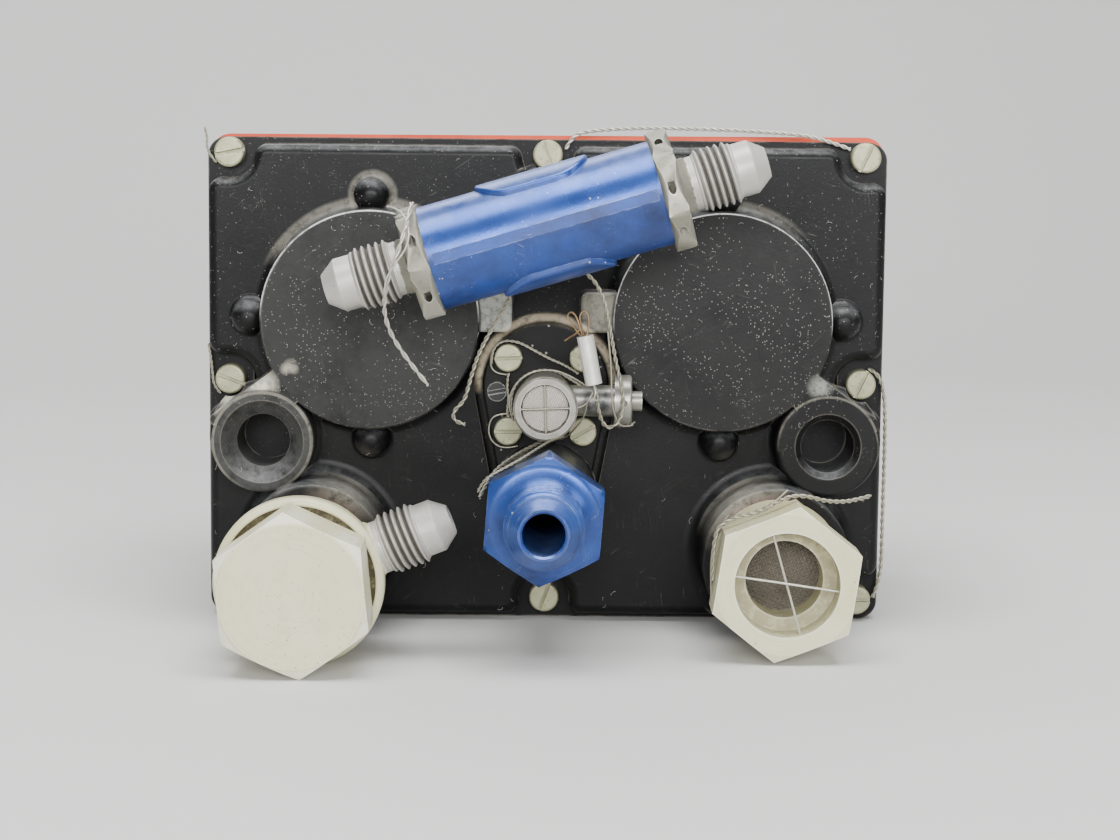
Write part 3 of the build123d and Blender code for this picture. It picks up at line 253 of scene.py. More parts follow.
class Group(Tree):
    """New node group with named inputs and one output."""

    def __init__(self, name, inputs, output, kind="ShaderNodeTree"):
        super().__init__(bpy.data.node_groups.new(name, kind))
        sockets = self.tree.interface
        for label, value in inputs.items():
            if label in ("Geometry", "Material"):
                sockets.new_socket(label, in_out="INPUT", socket_type="NodeSocket" + label)
                continue
            number = "Int" if isinstance(value, int) else "Float"
            sockets.new_socket(label, in_out="INPUT", socket_type="NodeSocket" + number).default_value = value
        made = "Geometry" if output == "Geometry" else "Float"
        sockets.new_socket(output, in_out="OUTPUT", socket_type="NodeSocket" + made)
        self.source = self.tree.nodes.new("NodeGroupInput")
        self.sink = self.tree.nodes.new("NodeGroupOutput")

    def ask(self, *labels):
        found = [self.source.outputs[label] for label in labels]
        return found if len(found) > 1 else found[0]

    def end(self, value):
        self.put(self.sink.inputs[0], value)
        return self.tree


# ---------------- shader groups


def make_grain_group():
    group = Group("cast grain", {"Scale": 900.0, "Pits": 0.4}, "Height")
    place, scale = group.place(), group.ask("Scale")
    pits = group.add("ShaderNodeTexVoronoi", Vector=place, Scale=scale).outputs["Distance"]
    pits = group.times(group.ramp(pits, 0.0, 0.35), group.ask("Pits"))
    return group.end(group.plus(group.noise(place, scale), pits))


def make_cloud_group():
    group = Group("cloudy tone", {"Scale": 60.0, "Low": 0.35, "High": 0.65, "Shift": 0.0}, "Mask")
    scale, low, high, shift = group.ask("Scale", "Low", "High", "Shift")
    moved = group.vector("ADD", group.place(), group.joined(X=shift, Y=shift))
    return group.end(group.ramp(group.noise(moved, scale, 6.0, 0.62), low, high))


def make_speck_group():
    """Small round spots that crowd in places, above a height."""
    group = Group("specks", {"Scale": 500.0, "Size": 0.12, "Share": 0.2, "Above": -1.0}, "Mask")
    scale, size, share, above = group.ask("Scale", "Size", "Share", "Above")
    place = group.place()
    cell = group.add("ShaderNodeTexVoronoi", Vector=place, Scale=scale)
    chance = group.add("ShaderNodeSeparateColor", Color=cell.outputs["Color"]).outputs
    crowd = group.ramp(group.noise(place, 95.0, 4.0, 0.6), 0.38, 0.64, 0.1, 2.0)
    kept = group.math("LESS_THAN", chance[0], group.times(share, crowd))
    near = group.over(cell.outputs["Distance"], group.times(size, group.plus(chance[1], 0.35)))
    upper = group.ramp(group.split(place)["Z"], above, group.plus(above, 0.02))
    return group.end(group.times(kept, group.ramp(near, 1.0, 0.6), upper))


def make_wear_group():
    """Edges found by comparing the face's normal with a rounded one, broken up by noise."""
    group = Group("edge wear", {"Width": 0.0004, "Break Scale": 300.0, "Reach": 0.5}, "Mask")
    width, break_scale, reach = group.ask("Width", "Break Scale", "Reach")
    rounded = group.add("ShaderNodeBevel", {"samples": 6}, Radius=width).outputs[0]
    edge = group.ramp(group.vector("DOT_PRODUCT", rounded, group.normal()), 0.995, 0.86)
    broken = group.ramp(group.noise(group.place(), break_scale, 4.0), reach, group.minus(reach, 0.16))
    return group.end(group.times(edge, broken))


def make_dust_and_painted_light_group():
    """Dust and painted highlight on what faces up; painted shade on what faces down where the full lean is
    below the first.
    """
    group = Group("settled dust", {"Scale": 120.0, "Level": 0.0, "Steep": 0.2, "Full": 0.95}, "Mask")
    scale, level, steep, full = group.ask("Scale", "Level", "Steep", "Full")
    facing = group.ramp(group.split(group.normal())["Z"], steep, full)
    blotches = group.ramp(group.noise(group.place(), scale, 7.0, 0.7), 0.3, 0.7)
    return group.end(group.plus(group.times(facing, blotches), group.times(blotches, level), clamp=True))


def make_scratch_group():
    """Thin lines in three directions, each in its own patches."""
    group = Group("scratches", {"Scale": 40.0, "Thin": 0.012, "Turn": 0.6}, "Mask")
    scale, thin, turn = group.ask("Scale", "Thin", "Turn")
    place = group.place()
    total = None
    for index, angle in enumerate((0.0, 1.1, 2.3)):
        angle = group.plus(turn, angle)
        spun = group.add("ShaderNodeVectorRotate", {"rotation_type": "Y_AXIS"}, Vector=place, Angle=angle)
        longer = group.vector("MULTIPLY", spun.outputs[0], (0.06, 1.0, 1.0))
        line = group.noise(longer, group.times(scale, 6 + index), 1.0)
        line = group.ramp(group.math("ABSOLUTE", group.minus(line, 0.5)), thin, 0.0)
        spread = group.noise(place, group.times(scale, 1.0 + 0.3 * index), 2.0)
        line = group.times(line, group.ramp(spread, 0.55, 0.65))
        total = line if total is None else group.math("MAXIMUM", total, line)
    return group.end(total)


def flat_distance(group, x, z):
    """Distance from a point of the back view, whatever the level."""
    place = group.split(group.place())
    across, rise = group.minus(place["X"], x), group.minus(place["Z"], z)
    return group.math("SQRT", group.plus(group.times(across, across), group.times(rise, rise)))


def level_out(group):
    """How far a point stands out of the back cover's flange."""
    return group.minus(FACE_Y * MM, group.split(group.place())["Y"])


def patchy(group, mask, scale):
    """Mask broken up by fine noise."""
    return group.times(mask, group.ramp(group.noise(group.place(), scale, 6.0, 0.7), 0.26, 0.52))


def make_patch_group():
    """Patch of dirt round a point, on what stands further out than a level, and kept off a round hole."""
    values = {"X": 0.0, "Z": 0.0, "Reach": 0.004, "Soft": 0.5, "Level": 0.001}
    hole_values = {"Hole X": 0.0, "Hole Z": 9.0, "Hole Radius": 0.0, "Scale": 800.0}
    group = Group("dirt patch", values | hole_values, "Mask")
    reach, soft, level, radius = group.ask("Reach", "Soft", "Level", "Hole Radius")
    inner = group.times(reach, group.minus(1.0, soft))
    near = group.ramp(flat_distance(group, *group.ask("X", "Z")), reach, inner)
    off = group.ramp(flat_distance(group, *group.ask("Hole X", "Hole Z")), radius, group.plus(radius, 0.0004))
    proud = group.ramp(level_out(group), group.minus(level, 0.0003), level)
    return group.end(patchy(group, group.times(near, off, proud), group.ask("Scale")))


def make_ring_group():
    """Band of dirt, painted highlight and painted shadow that follows a circle, on its part above a height and
    between two levels.
    """
    values = {"X": 0.0, "Z": 0.0, "Radius": 0.01, "Width": 0.001, "Above": -1.0, "Over": 0.001, "Under": 1.0}
    group = Group("dirt ring", values, "Mask")
    radius, width, above, over, under = group.ask("Radius", "Width", "Above", "Over", "Under")
    away = group.math("ABSOLUTE", group.minus(flat_distance(group, *group.ask("X", "Z")), radius))
    band = group.ramp(away, width, group.times(width, 0.5))
    upper = group.ramp(group.split(group.place())["Z"], above, group.plus(above, 0.004))
    out = level_out(group)
    between = group.times(group.math("LESS_THAN", out, under), group.math("GREATER_THAN", out, over))
    return group.end(patchy(group, group.times(band, upper, between), 600.0))


def make_turning_group():
    """Faint rings left by the tool on a turned face round a point."""
    group = Group("turning marks", {"X": 0.0, "Z": 0.0, "Scale": 2600.0, "Reach": 0.02}, "Mask")
    away = flat_distance(group, *group.ask("X", "Z"))
    rings = group.ramp(group.noise(group.joined(X=away), group.ask("Scale"), 2.0), 0.46, 0.70)
    inside = group.math("LESS_THAN", away, group.ask("Reach"))
    worn = group.ramp(group.noise(group.place(), 160.0, 3.0), 0.35, 0.6)
    return group.end(group.times(rings, inside, worn))


GROUPS = {
    "turning": make_turning_group(),
    "patch": make_patch_group(),
    "ring": make_ring_group(),
    "grain": make_grain_group(),
    "cloud": make_cloud_group(),
    "specks": make_speck_group(),
    "wear": make_wear_group(),
    "dust_and_painted_light": make_dust_and_painted_light_group(),
    "scratches": make_scratch_group(),
}

# ---------------- layers of a material
# Each layer is an effect, its values and its look: colour, strength and roughness. Lengths are in mm.


def cloud(scale, low, high, *look):
    return "cloud", {"Scale": scale, "Low": low, "High": high}, look


def wear(width, break_scale, reach, *look):
    return "wear", {"Width": width * MM, "Break Scale": break_scale, "Reach": reach}, look


def specks(scale, size, share, *look, above=-1000):
    return "specks", {"Scale": scale, "Size": size, "Share": share, "Above": above * MM}, look


# Layer by which way a face looks. Dust and painted highlight go on what faces up, painted shade on what faces
# down.
def dust_and_painted_light(scale, level, steep, *look, full=0.95):
    return "dust_and_painted_light", {"Scale": scale, "Level": level, "Steep": steep, "Full": full}, look


def scratches(scale, thin, *look, turn=0.6):
    return "scratches", {"Scale": scale, "Thin": thin, "Turn": turn}, look


def turning(centre, scale, *look, reach=20):
    return "turning", {"X": centre[0] * MM, "Z": centre[1] * MM, "Scale": scale, "Reach": reach * MM}, look


def ring(centre, radius, width, *look, above=-1000, over=1, under=1000):
    lengths = {"X": centre[0], "Z": centre[1], "Radius": radius, "Width": width}
    lengths |= {"Above": above, "Over": over, "Under": under}
    return "ring", metres(lengths), look


def patch(centre, reach, soft, *look, level=1, scale=800, off=(0, 9000), hole=0):
    lengths = {"X": centre[0], "Z": centre[1], "Reach": reach, "Level": level}
    lengths |= {"Hole X": off[0], "Hole Z": off[1], "Hole Radius": hole}
    return "patch", metres(lengths) | {"Soft": soft, "Scale": scale}, look


def effect(tree, kind, values):
    node = tree.add("ShaderNodeGroup")
    node.node_tree = GROUPS[kind]
    for label, value in values.items():
        tree.put(node.inputs[label], value)
    return node.outputs[0]


MATERIALS = {}


def finish(name, base, rough, *layers, metallic=0.0, bump=None, rough_cloud=None, groove=None, gloss=0.5):
    """Material whose base colour is covered by layers.

    It may have grain (scale, pits, height in mm), a cloudy roughness (scale, amount) and a colour that fills
    the grooves of a thread."""
    material, shader = new_material(name, {"Specular IOR Level": gloss})
    tree = Tree(material.node_tree)
    colour, roughness, metal = (*base, 1), rough, metallic
    if rough_cloud:
        scale, amount = rough_cloud
        haze = effect(tree, "cloud", {"Scale": scale, "Shift": 0.37})
        roughness = tree.ramp(haze, 0.0, 1.0, rough - amount, rough + amount)
    for kind, values, (tint, strength, layer_rough) in layers:
        mask = tree.times(effect(tree, kind, values), strength)
        colour = tree.mix(mask, colour, (*tint, 1))
        roughness = tree.ramp(mask, 0.0, 1.0, roughness, layer_rough)
        if metallic and kind in ("dust_and_painted_light", "specks", "cloud"):
            metal = tree.times(metal, tree.minus(1.0, mask))
    if groove:
        depth = tree.add("ShaderNodeAttribute", {"attribute_name": "groove"}).outputs["Fac"]
        mask = tree.ramp(depth, 0.2, 0.7, 0.0, 0.95)
        colour = tree.mix(mask, colour, (*groove, 1))
        metal = tree.times(metal, tree.minus(1.0, mask))
    for label, value in (("Base Color", colour), ("Roughness", roughness), ("Metallic", metal)):
        tree.put(shader.inputs[label], value)
    if bump:
        scale, pits, distance = bump
        node = tree.add("ShaderNodeBump", Strength=1.0, Distance=distance * MM)
        tree.put(node.inputs["Height"], effect(tree, "grain", {"Scale": scale, "Pits": pits}))
        tree.put(shader.inputs["Normal"], node.outputs[0])
    MATERIALS[name] = material


# ---------------- materials

DUST = (0.33, 0.30, 0.25)
SILT = (0.44, 0.42, 0.34)
CLAY = (0.66, 0.65, 0.54)
PALE = (0.55, 0.53, 0.48)
SMOKE = (0.06, 0.06, 0.057)
# pale rim colour: wear with a painted highlight
RIM_WEAR_AND_HIGHLIGHT = (0.80, 0.80, 0.78)
RUST_DUST = (0.66, 0.56, 0.40)
HOUSING_LEFT, HOUSING_RIGHT = (-33, 58.5), (33, 58.5)
BOSS_LEFT, BOSS_RIGHT = (-53.1, 35.45), (53.1, 35.45)
PORT_LEFT, PORT_RIGHT = (-43.2, 14.5), (43.2, 14.5)

finish(
    "black_casting", (0.0044, 0.0045, 0.0049), 0.34,
    cloud(28, 0.4, 0.75, (0.010, 0.010, 0.0095), 0.6, 0.44),
    patch(HOUSING_LEFT, 20.8, 0.04, SMOKE, 0.34, 0.5, level=13.5, scale=90),
    patch(HOUSING_RIGHT, 20.8, 0.04, SMOKE, 0.14, 0.5, level=13.5, scale=90),
    patch(BOSS_LEFT, 10.5, 0.1, SMOKE, 0.75, 0.5, scale=260),
    wear(0.5, 260, 0.66, DUST, 0.5, 0.7),
    # Dust and painted highlight on what faces up: the pale grey on the top bevels stands in for their
    # highlight.
    dust_and_painted_light(520, 0.012, 0.25, (0.30, 0.31, 0.315), 0.38, 0.55, full=0.75),
    ring((-33, 81.6), 3.7, 1.2, SILT, 0.28, 0.8, over=4.5, under=8),
    ring(HOUSING_LEFT, 22, 1.2, SILT, 0.26, 0.8, above=68, over=4.5, under=8),
    ring(HOUSING_RIGHT, 22, 1.2, SILT, 0.18, 0.8, above=74, over=4.5, under=8),
    ring((0, 46), 13, 1.1, RUST_DUST, 0.75, 0.8, above=44, over=5.5),
    # Pale upper rims of the capsule housings: wear with a painted highlight where light falls from above.
    ring(HOUSING_LEFT, 20.48, 0.3, RIM_WEAR_AND_HIGHLIGHT, 0.75, 0.5, above=58, over=13.55),
    ring(HOUSING_RIGHT, 20.48, 0.22, RIM_WEAR_AND_HIGHLIGHT, 0.6, 0.5, above=56, over=13.55),
    ring(BOSS_LEFT, 9.3, 0.4, SILT, 0.35, 0.8, above=26, over=12),
    ring(BOSS_RIGHT, 9.4, 0.3, SILT, 0.25, 0.8, above=34, over=12),
    patch((37, 24.5), 10.5, 0.9, SILT, 0.55, 0.8, level=6.2, scale=420, off=BOSS_RIGHT, hole=10.8),
    patch((-36.5, 27), 8.5, 0.9, SILT, 0.35, 0.8, level=6.2, scale=420, off=BOSS_LEFT, hole=10.8),
    patch((51.4, 46.8), 2.8, 0.8, (0.55, 0.56, 0.50), 0.45, 0.8, level=12.6, off=BOSS_RIGHT, hole=9.6),
    patch((-10.2, 60.2), 7, 0.1, (0.46, 0.47, 0.42), 0.75, 0.8, level=11.6, off=HOUSING_LEFT, hole=20.6),
    patch((10.2, 60.2), 7, 0.6, SILT, 0.45, 0.8, level=11.6, scale=420, off=HOUSING_RIGHT, hole=20.6),
    patch((-53.2, 46), 3.8, 0.8, CLAY, 0.95, 0.8, level=12.6, scale=420, off=BOSS_LEFT, hole=9.6),
    patch((-60.2, 42.4), 3, 0.8, CLAY, 0.7, 0.8, level=4, scale=420, off=BOSS_LEFT, hole=9.6),
    patch((-48.6, 49.2), 1.3, 0.9, SILT, 0.7, 0.8, level=12.8, scale=900),
    patch((-47.7, 49.8), 1.6, 0.8, SILT, 0.5, 0.8, level=12.8, scale=900),
    patch((-47, 49.1), 1.1, 0.9, SILT, 0.5, 0.8, level=12.8, scale=900),
    scratches(130, 0.003, PALE, 0.14, 0.6),
    specks(2600, 0.28, 0.16, PALE, 0.42, 0.8, above=30),
    specks(1500, 0.13, 0.16, PALE, 0.4, 0.8, above=28),
    specks(700, 0.075, 0.06, PALE, 0.8, 0.8, above=28),
    specks(330, 0.045, 0.05, PALE, 0.8, 0.8),
    bump=(1500, 0.35, 0.02), rough_cloud=(90, 0.06), gloss=0.17,
)
finish(
    "red_gasket", (0.78, 0.085, 0.03), 0.6,
    cloud(120, 0.45, 0.8, (0.35, 0.05, 0.02), 0.6, 0.7),
    bump=(2200, 0.2, 0.02),
)
finish(
    "plated_screw", (0.40, 0.395, 0.25), 0.40,
    cloud(420, 0.4, 0.7, (0.30, 0.29, 0.18), 0.7, 0.55),
    wear(0.25, 900, 0.6, (0.62, 0.60, 0.50), 0.6, 0.4),
    specks(1500, 0.3, 0.15, (0.08, 0.07, 0.04), 0.6, 0.7),
    metallic=0.5, bump=(2600, 0.5, 0.03),
)
finish(
    "black_screw", (0.012, 0.012, 0.012), 0.4,
    wear(0.22, 500, 0.8, (0.5, 0.5, 0.47), 0.9, 0.4),
    metallic=0.3, bump=(2200, 0.2, 0.01),
)
finish(
    "dial_face", (0.008, 0.008, 0.008), 0.6,
    specks(900, 0.1, 0.05, PALE, 0.4, 0.8),
    bump=(3000, 0.1, 0.005),
)
finish(
    "knob_black", (0.01, 0.01, 0.0105), 0.45,
    wear(0.4, 300, 0.5, (0.09, 0.09, 0.085), 0.5, 0.5),
    dust_and_painted_light(160, 0.0, 0.4, DUST, 0.12, 0.8),
    bump=(1800, 0.2, 0.01),
)
finish("brass", (0.55, 0.36, 0.13), 0.32, metallic=1.0, rough_cloud=(300, 0.08), bump=(2500, 0.1, 0.004))
finish("steel", (0.5, 0.5, 0.5), 0.3, metallic=1.0, rough_cloud=(300, 0.08), bump=(2500, 0.1, 0.004))
finish("bare_alloy", (0.6, 0.6, 0.6), 0.4, metallic=1.0, rough_cloud=(200, 0.08), bump=(2500, 0.2, 0.006))
finish("capsule_metal", (0.6, 0.45, 0.22), 0.35, metallic=1.0, rough_cloud=(200, 0.08), bump=(2500, 0.1, 0.004))
finish(
    "valve_black", (0.0045, 0.0045, 0.0048), 0.40,
    wear(0.4, 420, 0.52, (0.30, 0.27, 0.20), 0.5, 0.75),
    dust_and_painted_light(320, 0.015, 0.2, (0.42, 0.38, 0.28), 0.4, 0.8),
    specks(700, 0.16, 0.2, PALE, 0.6, 0.8),
    bump=(1500, 0.35, 0.02), gloss=0.16,
)
finish(
    "vent_metal", (0.31, 0.305, 0.27), 0.34,
    cloud(300, 0.42, 0.7, (0.22, 0.20, 0.15), 0.7, 0.55),
    patch((9.4, 44.5), 3.4, 0.4, (0.035, 0.04, 0.045), 0.9, 0.4, scale=300),
    wear(0.3, 600, 0.7, (0.75, 0.74, 0.70), 0.7, 0.3),
    specks(1700, 0.3, 0.12, (0.10, 0.08, 0.05), 0.5, 0.7),
    metallic=0.75, bump=(2600, 0.3, 0.012),
)
finish(
    "vent_mesh", (0.80, 0.75, 0.70), 0.5,
    cloud(260, 0.45, 0.75, (0.58, 0.50, 0.42), 0.5, 0.6),
    # Painted shadow: a dark band round the edge of the woven screen, where it sits in its ring.
    ring((0, 43.6), 4.45, 0.35, (0.02, 0.018, 0.015), 1.0, 0.8),
    metallic=0.15,
)
finish(
    "screen_mesh", (0.17, 0.15, 0.12), 0.5,
    cloud(260, 0.4, 0.7, (0.08, 0.07, 0.05), 0.7, 0.6),
    metallic=0.5,
)
finish(
    "lock_wire", (0.37, 0.355, 0.28), 0.34,
    cloud(700, 0.45, 0.7, (0.26, 0.23, 0.16), 0.6, 0.55),
    metallic=0.65,
)
finish(
    "pale_wire", (0.56, 0.545, 0.48), 0.34,
    cloud(500, 0.45, 0.7, (0.36, 0.33, 0.27), 0.5, 0.5),
    metallic=0.6,
)
finish("amber_wire", (0.24, 0.155, 0.08), 0.35, metallic=0.6, rough_cloud=(700, 0.08))
finish(
    "blue_anodised", (0.028, 0.078, 0.33), 0.27,
    cloud(55, 0.35, 0.75, (0.040, 0.100, 0.37), 0.5, 0.40),
    turning((0, 25.4), 3600, (0.10, 0.19, 0.50), 0.6, 0.3, reach=10.5),
    wear(0.3, 500, 0.56, (0.38, 0.47, 0.66), 0.6, 0.45),
    # Painted shade: dark blue on what faces down, so the body darkens below.
    dust_and_painted_light(90, 0.0, 0.22, (0.006, 0.016, 0.075), 1.0, 0.4, full=0.0),
    # Painted highlight: lighter blue on what faces up.
    dust_and_painted_light(240, 0.01, 0.45, (0.46, 0.56, 0.74), 0.34, 0.5),
    scratches(120, 0.005, (0.45, 0.52, 0.68), 0.35, 0.4, turn=1.7),
    specks(700, 0.13, 0.16, (0.55, 0.56, 0.58), 0.6, 0.6),
    specks(330, 0.07, 0.14, (0.66, 0.66, 0.62), 0.8, 0.6),
    metallic=0.68, bump=(1500, 0.3, 0.012), rough_cloud=(70, 0.06),
)
finish(
    "flare_alloy", (0.50, 0.49, 0.455), 0.44,
    cloud(160, 0.38, 0.7, (0.37, 0.35, 0.31), 0.6, 0.6),
    wear(0.3, 500, 0.66, (0.80, 0.79, 0.76), 0.6, 0.4),
    dust_and_painted_light(240, 0.05, 0.3, (0.56, 0.54, 0.49), 0.35, 0.8),
    specks(1300, 0.24, 0.14, (0.16, 0.13, 0.09), 0.6, 0.7),
    metallic=0.6, bump=(1900, 0.5, 0.02), groove=(0.05, 0.042, 0.032),
)
finish(
    "hex_plating", (0.29, 0.285, 0.235), 0.42,
    cloud(200, 0.38, 0.68, (0.24, 0.23, 0.17), 0.7, 0.55),
    wear(0.3, 500, 0.66, (0.72, 0.71, 0.66), 0.6, 0.4),
    specks(1100, 0.25, 0.2, (0.12, 0.10, 0.07), 0.6, 0.7),
    metallic=0.6, bump=(1100, 0.9, 0.055),
)
finish("seal_rubber", (0.02, 0.02, 0.02), 0.6, bump=(2000, 0.1, 0.01))
finish(
    "cream_paint", (0.65, 0.63, 0.40), 0.36,
    cloud(45, 0.35, 0.75, (0.74, 0.73, 0.53), 0.7, 0.44),
    cloud(260, 0.5, 0.8, (0.50, 0.46, 0.28), 0.5, 0.5),
    cloud(22, 0.48, 0.7, (0.52, 0.465, 0.20), 0.9, 0.45),
    turning(PORT_LEFT, 2200, (0.46, 0.44, 0.25), 0.34, 0.5),
    turning(PORT_RIGHT, 2200, (0.46, 0.44, 0.25), 0.3, 0.5),
    wear(0.5, 340, 0.66, (0.86, 0.85, 0.78), 0.8, 0.35),
    ring(PORT_LEFT, 13.6, 0.9, (0.86, 0.85, 0.80), 0.5, 0.4, over=50),
    dust_and_painted_light(260, 0.0, 0.5, (0.40, 0.36, 0.26), 0.30, 0.8),
    ring(PORT_LEFT, 12.8, 1.8, (0.085, 0.06, 0.03), 0.85, 0.8, over=42.5, under=45.5),
    ring(PORT_RIGHT, 8.3, 1.8, (0.27, 0.235, 0.14), 0.7, 0.8, over=28, under=42.8),
    specks(800, 0.19, 0.16, (0.17, 0.125, 0.06), 0.75, 0.7),
    specks(1700, 0.25, 0.14, (0.34, 0.29, 0.17), 0.55, 0.6),
    bump=(1300, 0.3, 0.016), rough_cloud=(80, 0.06),
)
finish(
    "seal_lead", (0.82, 0.81, 0.75), 0.36,
    cloud(500, 0.45, 0.75, (0.42, 0.40, 0.34), 0.6, 0.5),
    metallic=0.4, bump=(1500, 0.3, 0.03),
)
finish("dial_paint", (0.72, 0.70, 0.60), 0.55, bump=(2500, 0.1, 0.004))
finish("lint", (0.62, 0.60, 0.54), 0.9)


def make_glass():
    look = {"Base Color": (0.93, 0.96, 0.95, 1), "Transmission Weight": 1.0, "IOR": 1.12}
    material, shader = new_material("window_glass", look)
    tree = Tree(material.node_tree)
    smear = effect(tree, "cloud", {"Scale": 90, "Low": 0.4, "High": 0.8, "Shift": 0.2})
    tree.put(shader.inputs["Roughness"], tree.ramp(smear, 0.0, 1.0, 0.0, 0.06))
    MATERIALS["window_glass"] = material


make_glass()
SLOT_OF = {row["node"]: row["material_slot"] for row in frame["record"]["subparts"]}


def dress_cad_nodes():
    for name, node in frame["nodes"].items():
        node.data.materials.clear()
        node.data.materials.append(MATERIALS[SLOT_OF[name]])


# ---------------- mesh helpers


def new_piece(name, mesh, material, slot, body="case", replaces=()):
    """Finished piece: its mesh is already in place, so its object stays at the origin."""
    mesh.name = name
    piece = linked(name, mesh)
    mesh.materials.clear()
    mesh.materials.append(MATERIALS[material])
    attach(piece, body)
    if replaces:
        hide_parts(*replaces)


def applied(thing):
    """Plain mesh of an object with its modifiers applied; the object is removed."""
    bpy.context.view_layer.update()
    graph = bpy.context.evaluated_depsgraph_get()
    mesh = bpy.data.meshes.new_from_object(thing.evaluated_get(graph))
    bpy.data.objects.remove(thing)
    return mesh


def run_tree(name, data, tree, **values):
    """Plain mesh that a geometry tree makes of a mesh or curve, with the tree's inputs by name."""
    thing = linked(name, data)
    modifier = thing.modifiers.new(tree.name, "NODES")
    modifier.node_group = tree
    for item in tree.interface.items_tree:
        label = item.name.replace(" ", "_")
        if item.in_out == "INPUT" and label in values:
            modifier[item.identifier] = values[label]
    return applied(thing)


def reworked(mesh, change):
    """Mesh after a change to its editable form."""
    shape = bmesh.new()
    shape.from_mesh(mesh)
    change(shape)
    shape.to_mesh(mesh)
    shape.free()
    return mesh


def weld(shape, gap):
    bmesh.ops.remove_doubles(shape, verts=shape.verts, dist=gap)


def face_outwards(shape):
    bmesh.ops.recalc_face_normals(shape, faces=shape.faces)


def weld_and_face(shape):
    weld(shape, 5e-5)
    face_outwards(shape)


def shade(mesh, degrees):
    """Smooth shading with edges sharper than an angle left sharp."""
    mesh.shade_smooth()
    mesh.set_sharp_from_angle(angle=math.radians(degrees))


def lathe_mesh(name, outline, segments, step=0.5, fine_beyond=math.inf, fine_step=0.085):
    """Closed ring-shaped solid turned about Z from (radius, height) points in mm.

    Sides that lie wholly beyond a radius get rows close enough for a thread."""
    rows = []
    for (r0, z0), (r1, z1) in zip(outline, outline[1:] + outline[:1]):
        length = math.hypot(r1 - r0, z1 - z0)
        spacing = fine_step if min(r0, r1) > fine_beyond else step
        parts = max(1, round(length / spacing)) if spacing < length else 1
        rows += [(r0 + (r1 - r0) * t / parts, z0 + (z1 - z0) * t / parts) for t in range(parts)]
    turns = np.linspace(0, 2 * math.pi, segments, endpoint=False)
    verts = [(r * MM * math.cos(a), r * MM * math.sin(a), z * MM) for r, z in rows for a in turns]
    faces = []
    for i in range(len(rows)):
        here, above = i * segments, (i + 1) % len(rows) * segments
        for k in range(segments):
            m = (k + 1) % segments
            faces.append((here + k, here + m, above + m, above + k))
    mesh = bpy.data.meshes.new(name)
    mesh.from_pydata(verts, [], faces)
    return reworked(mesh, face_outwards)


# ---------------- geometry trees


class Build(Group):
    """Geometry tree with named inputs, a material and one geometry output."""

    def __init__(self, name, inputs):
        inputs = {"Geometry": None, **inputs, "Material": None}
        super().__init__(name, inputs, "Geometry", "GeometryNodeTree")

    def scaled(self, vector, factor):
        return self.add("ShaderNodeVectorMath", {"operation": "SCALE"}, Vector=vector, Scale=factor).outputs[0]

    def shape(self, kind, settings=None, **inputs):
        """First output of a new geometry node."""
        return self.add("GeometryNode" + kind, settings, **inputs).outputs[0]

    def moved(self, geometry, offset):
        return self.shape("SetPosition", Geometry=geometry, Offset=offset)

    def evenly(self, curve, length):
        return self.shape("ResampleCurve", {"mode": "LENGTH"}, Curve=curve, Length=length)

    def tube(self, curve, profile):
        return self.shape("CurveToMesh", Curve=curve, Profile_Curve=profile, Fill_Caps=True)

    def circle(self, radius, sides):
        return self.shape("CurvePrimitiveCircle", Resolution=sides, Radius=radius)

    def end(self, geometry):
        """Realize Instances and Set Material close every tree."""
        real = self.shape("RealizeInstances", Geometry=geometry)
        return super().end(self.shape("SetMaterial", Geometry=real, Material=self.ask("Material")))


def make_thread_tree():
    """Cuts a helical thread into the outer rows of a turned blank along Z."""
    sizes = {"Pitch": 0.00127, "Depth": 0.0007, "Start": 0.0, "End": 0.01, "Runout": 0.0008, "Land": 0.005}
    build = Build("cut thread", sizes)
    pitch, depth, start, end, runout, land = build.ask(*sizes)
    x, y, z = build.split(build.shape("InputPosition"))
    angle = build.over(build.math("ARCTAN2", y, x), 2 * math.pi)
    phase = build.math("FRACT", build.minus(build.over(z, pitch), angle))
    ridge = build.math("ABSOLUTE", build.minus(build.times(phase, 2.0), 1.0))
    rise = build.over(build.minus(z, start), runout, clamp=True)
    fall = build.over(build.minus(end, z), runout, clamp=True)
    flat = build.joined(X=x, Y=y)
    outer = build.math("GREATER_THAN", build.vector("LENGTH", flat), land)
    cut = build.times(build.ramp(ridge, 0.12, 0.92), build.times(rise, fall), outer)
    inward = build.scaled(build.vector("NORMALIZE", flat), build.times(depth, -1.0))
    kind = {"data_type": "FLOAT", "domain": "POINT"}
    stored = build.add("GeometryNodeStoreNamedAttribute", kind, Geometry=build.ask("Geometry"), Name="groove")
    build.put(shown(stored.inputs, "Value"), cut)
    return build.end(build.moved(stored.outputs[0], build.scaled(inward, cut)))


def make_twist_tree():
    """Lays two round strands round a path, turning once for each lay of length."""
    sizes = {"Strand Radius": 0.00021, "Lay": 0.0035, "Step": 0.00035, "Sides": 8}
    build = Build("twisted pair", sizes)
    radius, lay, step, sides = build.ask(*sizes)
    path = build.evenly(build.ask("Geometry"), step)
    path = build.shape("SetCurveNormal", {"mode": "MINIMUM_TWIST"}, Curve=path)
    length = build.add("GeometryNodeSplineParameter").outputs["Length"]
    normal = build.shape("InputNormal")
    across = build.vector("CROSS_PRODUCT", build.shape("InputTangent"), normal)
    join = build.add("GeometryNodeJoinGeometry")
    profile = build.circle(radius, sides)
    for shift in (0.0, math.pi):
        angle = build.plus(build.times(build.over(length, lay), 2 * math.pi), shift)
        part = build.scaled(normal, build.math("COSINE", angle))
        side = build.vector("ADD", part, build.scaled(across, build.math("SINE", angle)))
        strand = build.moved(path, build.scaled(side, radius))
        build.put(join.inputs[0], build.tube(strand, profile))
    return build.end(build.shape("SetShadeSmooth", Geometry=join.outputs[0]))


